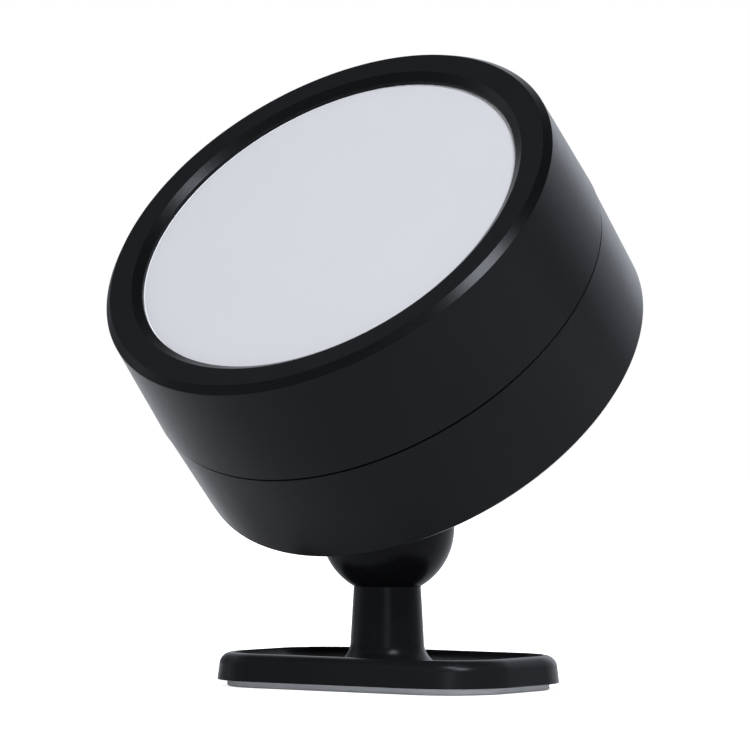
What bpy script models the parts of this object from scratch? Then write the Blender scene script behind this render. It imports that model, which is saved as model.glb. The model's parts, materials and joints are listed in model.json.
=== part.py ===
# A rechargeable cabinet spotlight. A drum-shaped lamp head clings by a magnet to a steel
# ball, which stands on a short post with a flared foot, on an oblong plate with an
# adhesive pad under it.
#
# Metres, +Z up. The origin is the centre of the pad's lower face, straight below the
# ball. +X runs along the plate's long side. The lamp faces -Y and upwards.
#
# The head is modelled in its own frame: x across, v up the slope, w along the drum's axis
# from the rear face (w = 0) to the front, with the drum's axis at x = v = 0.

from math import acos, cos, pi, radians, sin, sqrt

import bmesh
import bpy
from mathutils import Vector

MM = 0.001

# Clearances shared by every fit
FIT_GAP = 0.3 * MM
SOLDER_GAP = 0.1 * MM
CUT_OVERRUN = 1.0 * MM
WELD_DISTANCE = 0.0005 * MM

# How finely round shapes are faceted
SHELL_STEPS = 56
BALL_STEPS = 28
ROUND_STEPS = 24
SCREW_STEPS = 10
CORNER_STEPS = 6
FILLET_STEPS = 4
SHARP_ANGLE_DEG = 35

# Base plate and pad
PLATE_LENGTH = 50.8 * MM
PLATE_WIDTH = 31.4 * MM
PLATE_CORNER = 11.0 * MM
PLATE_THICKNESS = 3.95 * MM
PLATE_EDGE_FILLET = 1.2 * MM
PLATE_FOOT_CHAMFER = 0.3 * MM
RIM_WIDTH = 0.9 * MM
TRAY_DEPTH = 1.1 * MM
TRAY_SLOPE = 2.4 * MM
PAD_THICKNESS = 1.0 * MM
PAD_INSET = 1.45 * MM

# Ball and post
BALL_RADIUS = 10.0 * MM
POST_HEIGHT = 9.9 * MM
POST_TOP_RADIUS = 4.93 * MM
POST_LOW_RADIUS = 5.4 * MM
POST_FLARE = 1.9 * MM
POST_SCREW_RADIUS = 1.25 * MM
POST_SCREW_HEAD_RADIUS = 2.9 * MM
POST_SCREW_HEAD = 1.1 * MM
POST_SCREW_BITE = 5.75 * MM
POST_BORE_SPARE = 1.25 * MM

# Head outside. The drum is widest at the front housing's edge of the seam, and each half
# narrows away from it by its draft. The rear cover is set in a little at the seam.
HEAD_TILT_DEG = 46.3
HEAD_RADIUS = 36.7 * MM
SEAM_FROM_FRONT = 17.63 * MM
SEAM_FROM_REAR = 16.96 * MM
FRONT_DRAFT = 0.68 * MM
REAR_DRAFT = 0.1 * MM
REAR_SET_IN = 0.1 * MM
HEAD_WALL = 2.2 * MM
REAR_WALL = 3.4 * MM
REAR_FLOOR = 2.2 * MM
REAR_EDGE_FILLET = 0.6 * MM
FRONT_CHAMFER_WIDTH = 1.04 * MM
FRONT_CHAMFER_DEPTH = 1.01 * MM
BEZEL_WIDTH = 6.58 * MM
BEZEL_SLOPE_WIDTH = 1.5 * MM
BEZEL_SLOPE_DEPTH = 0.77 * MM
DIFFUSER_RECESS = 1.37 * MM
DIFFUSER_THICKNESS = 2.0 * MM
DIFFUSER_LAP = 1.8 * MM
DIFFUSER_EDGE = 0.25 * MM
POCKET_SKIRT = 0.5 * MM

# Ball seat in the rear face
SEAT_TO_WALL = 0.78 * MM
BALL_SUNK = 0.94 * MM
SEAT_SIDE = 0.7 * MM
SEAT_FLANGE = 2.0 * MM
SEAT_SKIN = 1.1 * MM
SEAT_EDGE = 0.3 * MM
MAGNET_RADIUS = 7.5 * MM
MAGNET_THICKNESS = 3.0 * MM
MAGNET_CAP_THICKNESS = 1.2 * MM

# Chassis and light engine
CHASSIS_THICKNESS = 1.6 * MM
LED_BOARD_LIP = 0.1 * MM
LED_BOARD_THICKNESS = 1.2 * MM
LED_LENGTH = 3.5 * MM
LED_WIDTH = 2.8 * MM
LED_HEIGHT = 0.8 * MM
LED_OUTER_COUNT = 8
LED_INNER_COUNT = 4
LED_INNER_SHARE = 4 / 9
LED_TO_SCREW = 5.0 * MM
LED_SCREW_COUNT = 3
LED_SCREW_GAP = 0.7 * MM
LIGHT_BOX_WALL = 1.1 * MM
LIGHT_BOX_TO_BOSS = 0.7 * MM
LIGHT_BOX_DRAFT = 0.9 * MM

# Cover screws and their bosses
COVER_SCREW_COUNT = 3
REAR_BOSS_RADIUS = 3.0 * MM
FRONT_BOSS_RADIUS = 3.4 * MM
FRONT_BOSS_LENGTH = 5.2 * MM
FRONT_BOSS_SUNK = 0.3 * MM
COVER_SCREW_RADIUS = 1.0 * MM
COVER_SCREW_HEAD_RADIUS = 1.9 * MM
COVER_SCREW_HEAD = 1.4 * MM
COVER_SCREW_DEPTH = 9.8 * MM
COVER_SCREW_BITE = 3.6 * MM
SMALL_SCREW_RADIUS = 0.8 * MM
SMALL_SCREW_HEAD_RADIUS = 1.6 * MM
SMALL_SCREW_HEAD = 1.0 * MM
SCREW_RECESS_RADIUS = 0.55 * MM
SCREW_RECESS_DEPTH = 0.5 * MM
SCREW_CROWN_SHARE = 0.8

# Main board, charging socket, switch and button
BOARD_LOW_V = 1.5 * MM
BOARD_THICKNESS = 1.2 * MM
BOARD_CORNER = 2.0 * MM
BOARD_TOP_TO_WALL = 9.7 * MM
BOARD_CORNER_TO_WALL = 2.34 * MM
BOARD_BOSS_INSET = 4.0 * MM
BOARD_BOSS_TO_PLUG = 4.3 * MM
BOARD_BOSS_RADIUS = 2.6 * MM
BOARD_SCREW_BITE = 4.0 * MM
SOCKET_WIDTH = 8.9 * MM
SOCKET_HEIGHT = 3.2 * MM
SOCKET_LENGTH = 8.0 * MM
SOCKET_WALL = 0.35 * MM
SOCKET_MOUTH_DEPTH = 5.5 * MM
SOCKET_SUNK = 0.5 * MM
SOCKET_TO_BOARD_TOP = 5.0 * MM
TONGUE_WIDTH = 6.6 * MM
TONGUE_HEIGHT = 0.7 * MM
TONGUE_SUNK = 0.9 * MM
BUTTON_PLACE_SHARE = 0.616
BUTTON_RADIUS = 4.5 * MM
BUTTON_PROUD = 0.5 * MM
BUTTON_EDGE = 0.4 * MM
BUTTON_FLANGE = 0.8 * MM
BUTTON_FLANGE_LIP = 0.9 * MM
BUTTON_STEM_RADIUS = 1.4 * MM
BUTTON_STEM = 0.6 * MM
BUTTON_TRAVEL = 0.6 * MM
SWITCH_SIZE = 6.0 * MM
SWITCH_PLUNGER_RADIUS = 1.6 * MM
SWITCH_PLUNGER = 0.7 * MM

# Parts on the front of the main board
CHIP_LENGTH = 5.0 * MM
CHIP_WIDTH = 4.0 * MM
CHIP_HEIGHT = 1.1 * MM
COIL_SIZE = 5.2 * MM
COIL_HEIGHT = 2.8 * MM
PLUG_LENGTH = 7.4 * MM
PLUG_WIDTH = 4.4 * MM
PLUG_HEIGHT = 3.6 * MM
CHIP_X = 4.5 * MM
COIL_X = 4.5 * MM
PARTS_PLACE_SHARE = 4 / 7
PLUG_X = 10.0 * MM
PLUG_TO_BOARD_LOW = 4.5 * MM
PART_EDGE = 0.3 * MM

# Battery
BATTERY_LENGTH = 36.0 * MM
BATTERY_TO_WALL = 0.75 * MM
BATTERY_TO_BOARD = 4.5 * MM
BATTERY_TO_SEAT = 1.19 * MM
BATTERY_EDGE = 1.2 * MM
FOAM_THICKNESS = 0.8 * MM
FOAM_INSET = 3.0 * MM

# Leads
LEAD_RADIUS = 0.5 * MM
LEAD_PITCH = 2.2 * MM
LEAD_POINTS = 12
LEAD_HOLE_RADIUS = 3.0 * MM
LEAD_BOW = 0.8 * MM

# Levels along the drum's axis, counted from the rear face
HEAD_DEPTH = SEAM_FROM_REAR + SEAM_FROM_FRONT
REAR_TOP_W = SEAM_FROM_REAR - FIT_GAP / 2
FRONT_LOW_W = SEAM_FROM_REAR + FIT_GAP / 2
CHASSIS_W = FRONT_LOW_W
CHASSIS_TOP_W = CHASSIS_W + CHASSIS_THICKNESS
LED_BOARD_W = CHASSIS_TOP_W + FIT_GAP
LED_BOARD_TOP_W = LED_BOARD_W + LED_BOARD_THICKNESS
DIFFUSER_TOP_W = HEAD_DEPTH - DIFFUSER_RECESS
DIFFUSER_LOW_W = DIFFUSER_TOP_W - DIFFUSER_THICKNESS
POCKET_LOW_W = DIFFUSER_LOW_W - POCKET_SKIRT
FRONT_BOSS_W = CHASSIS_TOP_W + FIT_GAP
BALL_TO_REAR = BALL_RADIUS - BALL_SUNK
SEAT_FLANGE_W = REAR_FLOOR + FIT_GAP
DISH_DEPTH = BALL_SUNK + FIT_GAP
MAGNET_POCKET_W = DISH_DEPTH + SEAT_SKIN
MAGNET_W = MAGNET_POCKET_W + FIT_GAP
SEAT_TOP_W = MAGNET_W + MAGNET_THICKNESS
MAGNET_CAP_W = SEAT_TOP_W + FIT_GAP
MAGNET_CAP_TOP_W = MAGNET_CAP_W + MAGNET_CAP_THICKNESS
BOARD_W = SOCKET_SUNK + SOCKET_LENGTH + SOLDER_GAP
BOARD_TOP_W = BOARD_W + BOARD_THICKNESS
BOARD_PARTS_W = BOARD_TOP_W + SOLDER_GAP
BUTTON_STEM_W = REAR_FLOOR + FIT_GAP + BUTTON_FLANGE
SWITCH_LOW_W = BUTTON_STEM_W + BUTTON_STEM + BUTTON_TRAVEL + FIT_GAP
BATTERY_TOP_W = CHASSIS_W - FOAM_THICKNESS - 2 * FIT_GAP
BATTERY_THICKNESS = BATTERY_TOP_W - MAGNET_CAP_TOP_W - BATTERY_TO_SEAT
BATTERY_W = BATTERY_TOP_W - BATTERY_THICKNESS

# Radii about the drum's axis, from the outside in
FRONT_EDGE_RADIUS = HEAD_RADIUS - FRONT_DRAFT
REAR_RADIUS = HEAD_RADIUS - REAR_SET_IN
REAR_EDGE_RADIUS = REAR_RADIUS - REAR_DRAFT
HEAD_INNER_RADIUS = HEAD_RADIUS - HEAD_WALL
REAR_INNER_RADIUS = REAR_RADIUS - REAR_WALL
LIGHT_RADIUS = HEAD_RADIUS - BEZEL_WIDTH
DIFFUSER_RADIUS = LIGHT_RADIUS + DIFFUSER_LAP
POCKET_RADIUS = DIFFUSER_RADIUS + FIT_GAP
COVER_SCREW_RING = HEAD_INNER_RADIUS + FRONT_BOSS_SUNK - FRONT_BOSS_RADIUS
LIGHT_BOX_ELBOW_RADIUS = COVER_SCREW_RING - FRONT_BOSS_RADIUS - LIGHT_BOX_TO_BOSS
LIGHT_BOX_FOOT_RADIUS = LIGHT_BOX_ELBOW_RADIUS - LIGHT_BOX_DRAFT
LED_BOARD_RADIUS = LIGHT_BOX_FOOT_RADIUS + LED_BOARD_LIP
LIGHT_BOX_FOOT_INSIDE = LIGHT_BOX_FOOT_RADIUS - LIGHT_BOX_WALL
LED_SCREW_RING = LIGHT_BOX_FOOT_INSIDE - LED_SCREW_GAP - SMALL_SCREW_HEAD_RADIUS
LED_OUTER_RING = LED_SCREW_RING - LED_TO_SCREW
LED_INNER_RING = LED_OUTER_RING * LED_INNER_SHARE
SEAT_RADIUS = MAGNET_RADIUS + FIT_GAP + SEAT_SIDE
SEAT_FLANGE_RADIUS = SEAT_RADIUS + SEAT_FLANGE

# Places up and down the slope, counted from the drum's axis
SEAT_OFFSET = REAR_INNER_RADIUS - SEAT_TO_WALL - SEAT_FLANGE_RADIUS
SEAT_TOP_V = SEAT_FLANGE_RADIUS - SEAT_OFFSET
BOARD_TOP_V = REAR_INNER_RADIUS - BOARD_TOP_TO_WALL
BOARD_WIDTH = BOARD_TOP_V - BOARD_LOW_V
BOARD_V = (BOARD_TOP_V + BOARD_LOW_V) / 2
BOARD_LENGTH = 2 * sqrt((REAR_INNER_RADIUS - BOARD_CORNER_TO_WALL) ** 2 - BOARD_TOP_V ** 2)
BOARD_BOSS_X = BOARD_LENGTH / 2 - BOARD_BOSS_INSET
SOCKET_V = BOARD_TOP_V - SOCKET_TO_BOARD_TOP
SOCKET_LOW_V = SOCKET_V - SOCKET_HEIGHT / 2
BUTTON_V = SEAT_TOP_V + BUTTON_PLACE_SHARE * (SOCKET_LOW_V - SEAT_TOP_V)
PLUG_V = BOARD_LOW_V + PLUG_TO_BOARD_LOW
PARTS_UPPER_V = PLUG_V + PARTS_PLACE_SHARE * (BOARD_TOP_V - PLUG_V)
BOARD_BOSS_V = PLUG_V + PLUG_WIDTH / 2 + BOARD_BOSS_TO_PLUG
BATTERY_TOP_V = BOARD_LOW_V - BATTERY_TO_BOARD
BATTERY_LOW_V = -sqrt((REAR_INNER_RADIUS - BATTERY_TO_WALL) ** 2 - (BATTERY_LENGTH / 2) ** 2)
BATTERY_WIDTH = BATTERY_TOP_V - BATTERY_LOW_V
BATTERY_V = (BATTERY_TOP_V + BATTERY_LOW_V) / 2

# Heights above the surface that the pad sticks to
PLATE_TOP = PAD_THICKNESS + PLATE_THICKNESS
TRAY_FLOOR = PLATE_TOP - TRAY_DEPTH
POST_FOOT = TRAY_FLOOR + FIT_GAP
POST_BORE_DEPTH = POST_SCREW_BITE + POST_BORE_SPARE
POST_SCREW_HOLE_TOP = PAD_THICKNESS + POST_SCREW_HEAD + 2 * FIT_GAP
POST_SCREW_SEAT = POST_SCREW_HOLE_TOP - FIT_GAP
POST_SCREW_LENGTH = POST_FOOT + POST_SCREW_BITE - POST_SCREW_SEAT
BALL_HEIGHT = TRAY_FLOOR + POST_HEIGHT + BALL_RADIUS


def clear_scene():
    for thing in list(bpy.data.objects):
        bpy.data.objects.remove(thing, do_unlink=True)


def finish(name, colour, roughness, metallic=0.0):
    mat = bpy.data.materials.new(name)
    mat.use_nodes = True
    shader = mat.node_tree.nodes["Principled BSDF"]
    shader.inputs["Base Color"].default_value = (*colour, 1.0)
    shader.inputs["Roughness"].default_value = roughness
    shader.inputs["Metallic"].default_value = metallic
    mat.diffuse_color = (*colour, 1.0)
    return mat


def frame(name, parent=None, place=(0, 0, 0), tilt=0.0):
    empty = bpy.data.objects.new(name, None)
    bpy.context.scene.collection.objects.link(empty)
    empty.parent = parent
    empty.location = place
    empty.rotation_euler = (tilt, 0, 0)
    return empty


def add(name, mesh_data, parent, mat, place=(0, 0, 0), smooth=True):
    """Turn a bmesh into a named object that hangs from a parent frame."""
    bmesh.ops.recalc_face_normals(mesh_data, faces=mesh_data.faces)
    mesh = bpy.data.meshes.new(name)
    mesh_data.to_mesh(mesh)
    mesh_data.free()
    if smooth:
        mesh.shade_smooth()
        mesh.set_sharp_from_angle(angle=radians(SHARP_ANGLE_DEG))
    thing = bpy.data.objects.new(name, mesh)
    bpy.context.scene.collection.objects.link(thing)
    thing.parent = parent
    thing.location = place
    if mat:
        mesh.materials.append(mat)
    return thing


def spin_profile(profile, steps, place=(0, 0, 0), into=None):
    """Revolve a closed (radius, height) outline about Z, at a place."""
    shape = bmesh.new()
    corners = [shape.verts.new((radius, 0, height)) for radius, height in profile]
    loop = corners + corners[:1]
    sides = []
    for first, second in zip(loop, loop[1:]):
        if first.co.x > 0 or second.co.x > 0:
            sides.append(shape.edges.new((first, second)))
    bmesh.ops.spin(shape, geom=corners + sides, axis=(0, 0, 1), angle=2 * pi,
                   steps=steps, use_merge=True)
    bmesh.ops.remove_doubles(shape, verts=shape.verts, dist=WELD_DISTANCE)
    bmesh.ops.recalc_face_normals(shape, faces=shape.faces)
    bmesh.ops.translate(shape, verts=shape.verts, vec=place)
    return merge_into(into, shape)


def merge_into(into, shape):
    """Add one bmesh to another, or return it as it is when there is none yet."""
    if into is None:
        return shape
    carrier = bpy.data.meshes.new("carrier")
    shape.to_mesh(carrier)
    shape.free()
    into.from_mesh(carrier)
    bpy.data.meshes.remove(carrier)
    return into


def cylinder(radius, low, high, steps, place=(0, 0, 0), into=None):
    profile = [(0, low), (radius, low), (radius, high), (0, high)]
    return spin_profile(profile, steps, place, into)


def oblong(length, width, corner):
    """Outline of a rectangle with round corners, counter-clockwise."""
    points = []
    for quarter, (side_x, side_y) in enumerate([(1, 1), (-1, 1), (-1, -1), (1, -1)]):
        centre_x = side_x * (length / 2 - corner)
        centre_y = side_y * (width / 2 - corner)
        for step in range(CORNER_STEPS + 1):
            angle = (quarter + step / CORNER_STEPS) * pi / 2
            points.append((centre_x + corner * cos(angle), centre_y + corner * sin(angle)))
    return points


def stack(sections, into=None, place=(0, 0, 0)):
    """Skin a pile of (outline, height) sections and close it at both ends."""
    shape = bmesh.new()
    rings = []
    for outline, height in sections:
        rings.append([shape.verts.new((x, y, height)) for x, y in outline])
    for lower, upper in zip(rings, rings[1:]):
        for i in range(len(lower)):
            j = (i + 1) % len(lower)
            shape.faces.new((lower[i], lower[j], upper[j], upper[i]))
    shape.faces.new(list(reversed(rings[0])))
    shape.faces.new(rings[-1])
    bmesh.ops.translate(shape, verts=shape.verts, vec=place)
    return merge_into(into, shape)


def block(length, width, low, high, edge=0.0, place=(0, 0, 0), into=None):
    """A box standing on z = low, with its edges chamfered if an edge size is given."""
    shape = bmesh.new()
    bmesh.ops.create_cube(shape, size=1)
    bmesh.ops.scale(shape, vec=(length, width, high - low), verts=shape.verts)
    middle = Vector((0, 0, (low + high) / 2)) + Vector(place)
    bmesh.ops.translate(shape, verts=shape.verts, vec=middle)
    if edge:
        bmesh.ops.bevel(shape, geom=shape.edges[:], offset=edge, segments=1, affect="EDGES")
    return merge_into(into, shape)


def boolean(target, operation, shape):
    """Cut or join a target with a bmesh given in the target's own frame."""
    tool = add(f"{target.name}_{operation.lower()}", shape, target.parent, None,
               target.location, smooth=False)
    tool.hide_render = True
    tool.display_type = "WIRE"
    modifier = target.modifiers.new(operation.lower(), "BOOLEAN")
    modifier.operation = operation
    modifier.solver = "EXACT"
    modifier.object = tool


def around(count, radius, start=pi / 2):
    """Places evenly spaced on a circle, the first one up the slope."""
    for i in range(count):
        angle = start + 2 * pi * i / count
        yield radius * cos(angle), radius * sin(angle)


def screw(name, parent, mat, place, sizes, head_up=True):
    """A round-head screw whose head seats at z = 0 and whose shank points the other way."""
    radius, head_radius, head, length = sizes
    up = 1 if head_up else -1
    crown = head - SCREW_RECESS_DEPTH
    profile = [(0, up * crown), (SCREW_RECESS_RADIUS, up * crown), (SCREW_RECESS_RADIUS, up * head),
               (head_radius * SCREW_CROWN_SHARE, up * head), (head_radius, up * head / 2),
               (head_radius, 0),
               (radius, 0), (radius, -up * (length - radius)), (0, -up * length)]
    return add(name, spin_profile(profile, SCREW_STEPS), parent, mat, place)


def lead(name, parent, mat, route):
    """A thin insulated wire along a smooth curve through its route's points."""
    first = [2 * a - b for a, b in zip(route[0], route[1])]
    last = [2 * a - b for a, b in zip(route[-1], route[-2])]
    knots = [Vector(point) for point in [first, *route, last]]
    spans = len(knots) - 3
    path = []
    for i in range(LEAD_POINTS):
        along = spans * i / (LEAD_POINTS - 1)
        span = min(int(along), spans - 1)
        t = along - span
        a, b, c, d = knots[span:span + 4]
        path.append(0.5 * (2 * b + (c - a) * t + (2 * a - 5 * b + 4 * c - d) * t ** 2
                           + (3 * b - a - 3 * c + d) * t ** 3))
    curve = bpy.data.curves.new(name, "CURVE")
    curve.dimensions = "3D"
    curve.bevel_depth = LEAD_RADIUS
    curve.bevel_resolution = 2
    curve.use_fill_caps = True
    spline = curve.splines.new("POLY")
    spline.points.add(LEAD_POINTS - 1)
    for knot, point in zip(spline.points, path):
        knot.co = (*point, 1)
    curve.materials.append(mat)
    thing = bpy.data.objects.new(name, curve)
    bpy.context.scene.collection.objects.link(thing)
    thing.parent = parent
    return thing


def plate_outline(inset):
    return oblong(PLATE_LENGTH - 2 * inset, PLATE_WIDTH - 2 * inset, PLATE_CORNER - inset)


def make_base(root, black, pad_grey, steel):
    """The oblong plate with its shallow tray, the pad below it and the screw that holds the post."""
    sections = [(plate_outline(PLATE_FOOT_CHAMFER), PAD_THICKNESS),
                (plate_outline(0), PAD_THICKNESS + PLATE_FOOT_CHAMFER)]
    for step in range(FILLET_STEPS + 1):
        turn = step / FILLET_STEPS * pi / 2
        inset = PLATE_EDGE_FILLET * (1 - cos(turn))
        sections.append((plate_outline(inset), PLATE_TOP - PLATE_EDGE_FILLET * (1 - sin(turn))))
    tray_edge = PLATE_EDGE_FILLET + RIM_WIDTH
    for step in range(FILLET_STEPS + 1):
        share = step / FILLET_STEPS
        drop = TRAY_DEPTH * (1 - cos(share * pi)) / 2
        sections.append((plate_outline(tray_edge + TRAY_SLOPE * share), PLATE_TOP - drop))
    plate = add("base_plate", stack(sections), root, black)
    screw_hole = POST_SCREW_RADIUS + FIT_GAP
    head_hole = POST_SCREW_HEAD_RADIUS + FIT_GAP
    holes = cylinder(screw_hole, PAD_THICKNESS - CUT_OVERRUN, PLATE_TOP + CUT_OVERRUN, SCREW_STEPS)
    boolean(plate, "DIFFERENCE", holes)
    recess = cylinder(head_hole, PAD_THICKNESS - CUT_OVERRUN, POST_SCREW_HOLE_TOP, ROUND_STEPS)
    boolean(plate, "DIFFERENCE", recess)

    pad_outline = plate_outline(PAD_INSET)
    add("adhesive_pad", stack([(pad_outline, 0), (pad_outline, PAD_THICKNESS)]), root, pad_grey)

    sizes = (POST_SCREW_RADIUS, POST_SCREW_HEAD_RADIUS, POST_SCREW_HEAD, POST_SCREW_LENGTH)
    screw("post_screw", root, steel, (0, 0, POST_SCREW_SEAT), sizes, head_up=False)


def make_post(root, black):
    """The turned post: a flared foot, a slight taper, and a cup that follows the ball."""
    cup_radius = BALL_RADIUS + FIT_GAP
    flare_top = TRAY_FLOOR + POST_FLARE
    bore = POST_SCREW_RADIUS + FIT_GAP
    first_turn = acos((flare_top - POST_FOOT) / POST_FLARE)
    profile = [(bore, POST_FOOT)]
    for step in range(FILLET_STEPS + 1):
        turn = first_turn + (pi / 2 - first_turn) * step / FILLET_STEPS
        radius = POST_LOW_RADIUS + POST_FLARE * (1 - sin(turn))
        profile.append((radius, flare_top - POST_FLARE * cos(turn)))
    for step in range(FILLET_STEPS + 1):
        radius = POST_TOP_RADIUS * (1 - step / FILLET_STEPS)
        profile.append((radius, BALL_HEIGHT - sqrt(cup_radius ** 2 - radius ** 2)))
    bore_top = POST_FOOT + POST_BORE_DEPTH
    profile += [(0, bore_top), (bore, bore_top)]
    add("post", spin_profile(profile, ROUND_STEPS), root, black)


def make_ball(ball_frame, black):
    shape = bmesh.new()
    bmesh.ops.create_uvsphere(shape, u_segments=BALL_STEPS, v_segments=BALL_STEPS // 2,
                              radius=BALL_RADIUS)
    add("ball", shape, ball_frame, black)


def make_seat(seat_frame, black, magnet_metal):
    """The insert that the ball rests in, the magnet behind it and the magnet's cap."""
    dish_radius = BALL_RADIUS + FIT_GAP
    dish_edge = sqrt(dish_radius ** 2 - BALL_TO_REAR ** 2)
    profile = []
    for step in range(FILLET_STEPS + 1):
        radius = dish_edge * step / FILLET_STEPS
        profile.append((radius, sqrt(dish_radius ** 2 - radius ** 2) - BALL_TO_REAR))
    pocket = MAGNET_RADIUS + FIT_GAP
    profile += [(SEAT_RADIUS - SEAT_EDGE, 0), (SEAT_RADIUS, SEAT_EDGE), (SEAT_RADIUS, SEAT_FLANGE_W),
                (SEAT_FLANGE_RADIUS, SEAT_FLANGE_W), (SEAT_FLANGE_RADIUS, SEAT_TOP_W),
                (pocket, SEAT_TOP_W), (pocket, MAGNET_POCKET_W), (0, MAGNET_POCKET_W)]
    add("ball_seat", spin_profile(profile, ROUND_STEPS), seat_frame, black)
    add("seat_magnet", cylinder(MAGNET_RADIUS, MAGNET_W, SEAT_TOP_W, ROUND_STEPS),
        seat_frame, magnet_metal)
    add("magnet_cap", cylinder(SEAT_FLANGE_RADIUS, MAGNET_CAP_W, MAGNET_CAP_TOP_W, ROUND_STEPS),
        seat_frame, black)


def make_front_housing(drum, black):
    """The front half of the drum, with the bezel round the light and bosses for the screws."""
    face_radius = FRONT_EDGE_RADIUS - FRONT_CHAMFER_WIDTH
    lip_low = DIFFUSER_TOP_W + FIT_GAP
    profile = [(HEAD_RADIUS, FRONT_LOW_W), (FRONT_EDGE_RADIUS, HEAD_DEPTH - FRONT_CHAMFER_DEPTH),
               (face_radius, HEAD_DEPTH), (LIGHT_RADIUS + BEZEL_SLOPE_WIDTH, HEAD_DEPTH),
               (LIGHT_RADIUS, HEAD_DEPTH - BEZEL_SLOPE_DEPTH), (LIGHT_RADIUS, lip_low),
               (POCKET_RADIUS, lip_low), (POCKET_RADIUS, POCKET_LOW_W),
               (HEAD_INNER_RADIUS, POCKET_LOW_W), (HEAD_INNER_RADIUS, FRONT_LOW_W)]
    housing = add("front_housing", spin_profile(profile, SHELL_STEPS), drum, black)
    bosses = None
    pilots = None
    boss_top = FRONT_BOSS_W + FRONT_BOSS_LENGTH
    pilot_top = FRONT_BOSS_W + COVER_SCREW_BITE + FIT_GAP
    pilot = COVER_SCREW_RADIUS + FIT_GAP
    for x, v in around(COVER_SCREW_COUNT, COVER_SCREW_RING):
        bosses = cylinder(FRONT_BOSS_RADIUS, FRONT_BOSS_W, boss_top, ROUND_STEPS, (x, v, 0), bosses)
        pilots = cylinder(pilot, FRONT_BOSS_W - CUT_OVERRUN, pilot_top, SCREW_STEPS, (x, v, 0), pilots)
    boolean(housing, "UNION", bosses)
    boolean(housing, "DIFFERENCE", pilots)


def make_rear_cover(drum, black):
    """The rear half: bosses inside, and openings for seat, button, socket and screws."""
    profile = [(0, REAR_FLOOR), (0, 0)]
    for step in range(FILLET_STEPS + 1):
        turn = step / FILLET_STEPS * pi / 2
        profile.append((REAR_EDGE_RADIUS - REAR_EDGE_FILLET * (1 - sin(turn)),
                        REAR_EDGE_FILLET * (1 - cos(turn))))
    profile += [(REAR_RADIUS, REAR_TOP_W), (REAR_INNER_RADIUS, REAR_TOP_W),
                (REAR_INNER_RADIUS, REAR_FLOOR)]
    cover = add("rear_cover", spin_profile(profile, SHELL_STEPS), drum, black)
    floor_middle = REAR_FLOOR / 2
    bosses = None
    holes = cylinder(SEAT_RADIUS + FIT_GAP, -CUT_OVERRUN, REAR_FLOOR + CUT_OVERRUN, ROUND_STEPS,
                     (0, -SEAT_OFFSET, 0))
    holes = cylinder(BUTTON_RADIUS + FIT_GAP, -CUT_OVERRUN, REAR_FLOOR + CUT_OVERRUN, ROUND_STEPS,
                     (0, BUTTON_V, 0), holes)
    slot = oblong(SOCKET_WIDTH + 2 * FIT_GAP, SOCKET_HEIGHT + 2 * FIT_GAP,
                  SOCKET_HEIGHT / 2 + FIT_GAP - WELD_DISTANCE)
    holes = stack([(slot, -CUT_OVERRUN), (slot, REAR_FLOOR + CUT_OVERRUN)], holes, (0, SOCKET_V, 0))
    pilots = None
    for x, v in around(COVER_SCREW_COUNT, COVER_SCREW_RING):
        bosses = cylinder(REAR_BOSS_RADIUS, floor_middle, REAR_TOP_W, ROUND_STEPS, (x, v, 0), bosses)
        holes = cylinder(COVER_SCREW_HEAD_RADIUS + FIT_GAP, -CUT_OVERRUN, COVER_SCREW_DEPTH,
                         ROUND_STEPS, (x, v, 0), holes)
        pilots = cylinder(COVER_SCREW_RADIUS + FIT_GAP, COVER_SCREW_DEPTH - CUT_OVERRUN,
                          REAR_TOP_W + CUT_OVERRUN, SCREW_STEPS, (x, v, 0), pilots)
    board_pilot = SMALL_SCREW_RADIUS + FIT_GAP
    board_boss_top = BOARD_W - FIT_GAP
    pilot_low = BOARD_TOP_W - BOARD_SCREW_BITE - BOARD_THICKNESS - FIT_GAP
    for side in (-1, 1):
        place = (side * BOARD_BOSS_X, BOARD_BOSS_V, 0)
        bosses = cylinder(BOARD_BOSS_RADIUS, floor_middle, board_boss_top, ROUND_STEPS, place, bosses)
        pilots = cylinder(board_pilot, pilot_low, BOARD_W + CUT_OVERRUN, SCREW_STEPS, place, pilots)
    boolean(cover, "UNION", bosses)
    boolean(cover, "DIFFERENCE", holes)
    boolean(cover, "DIFFERENCE", pilots)


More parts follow.
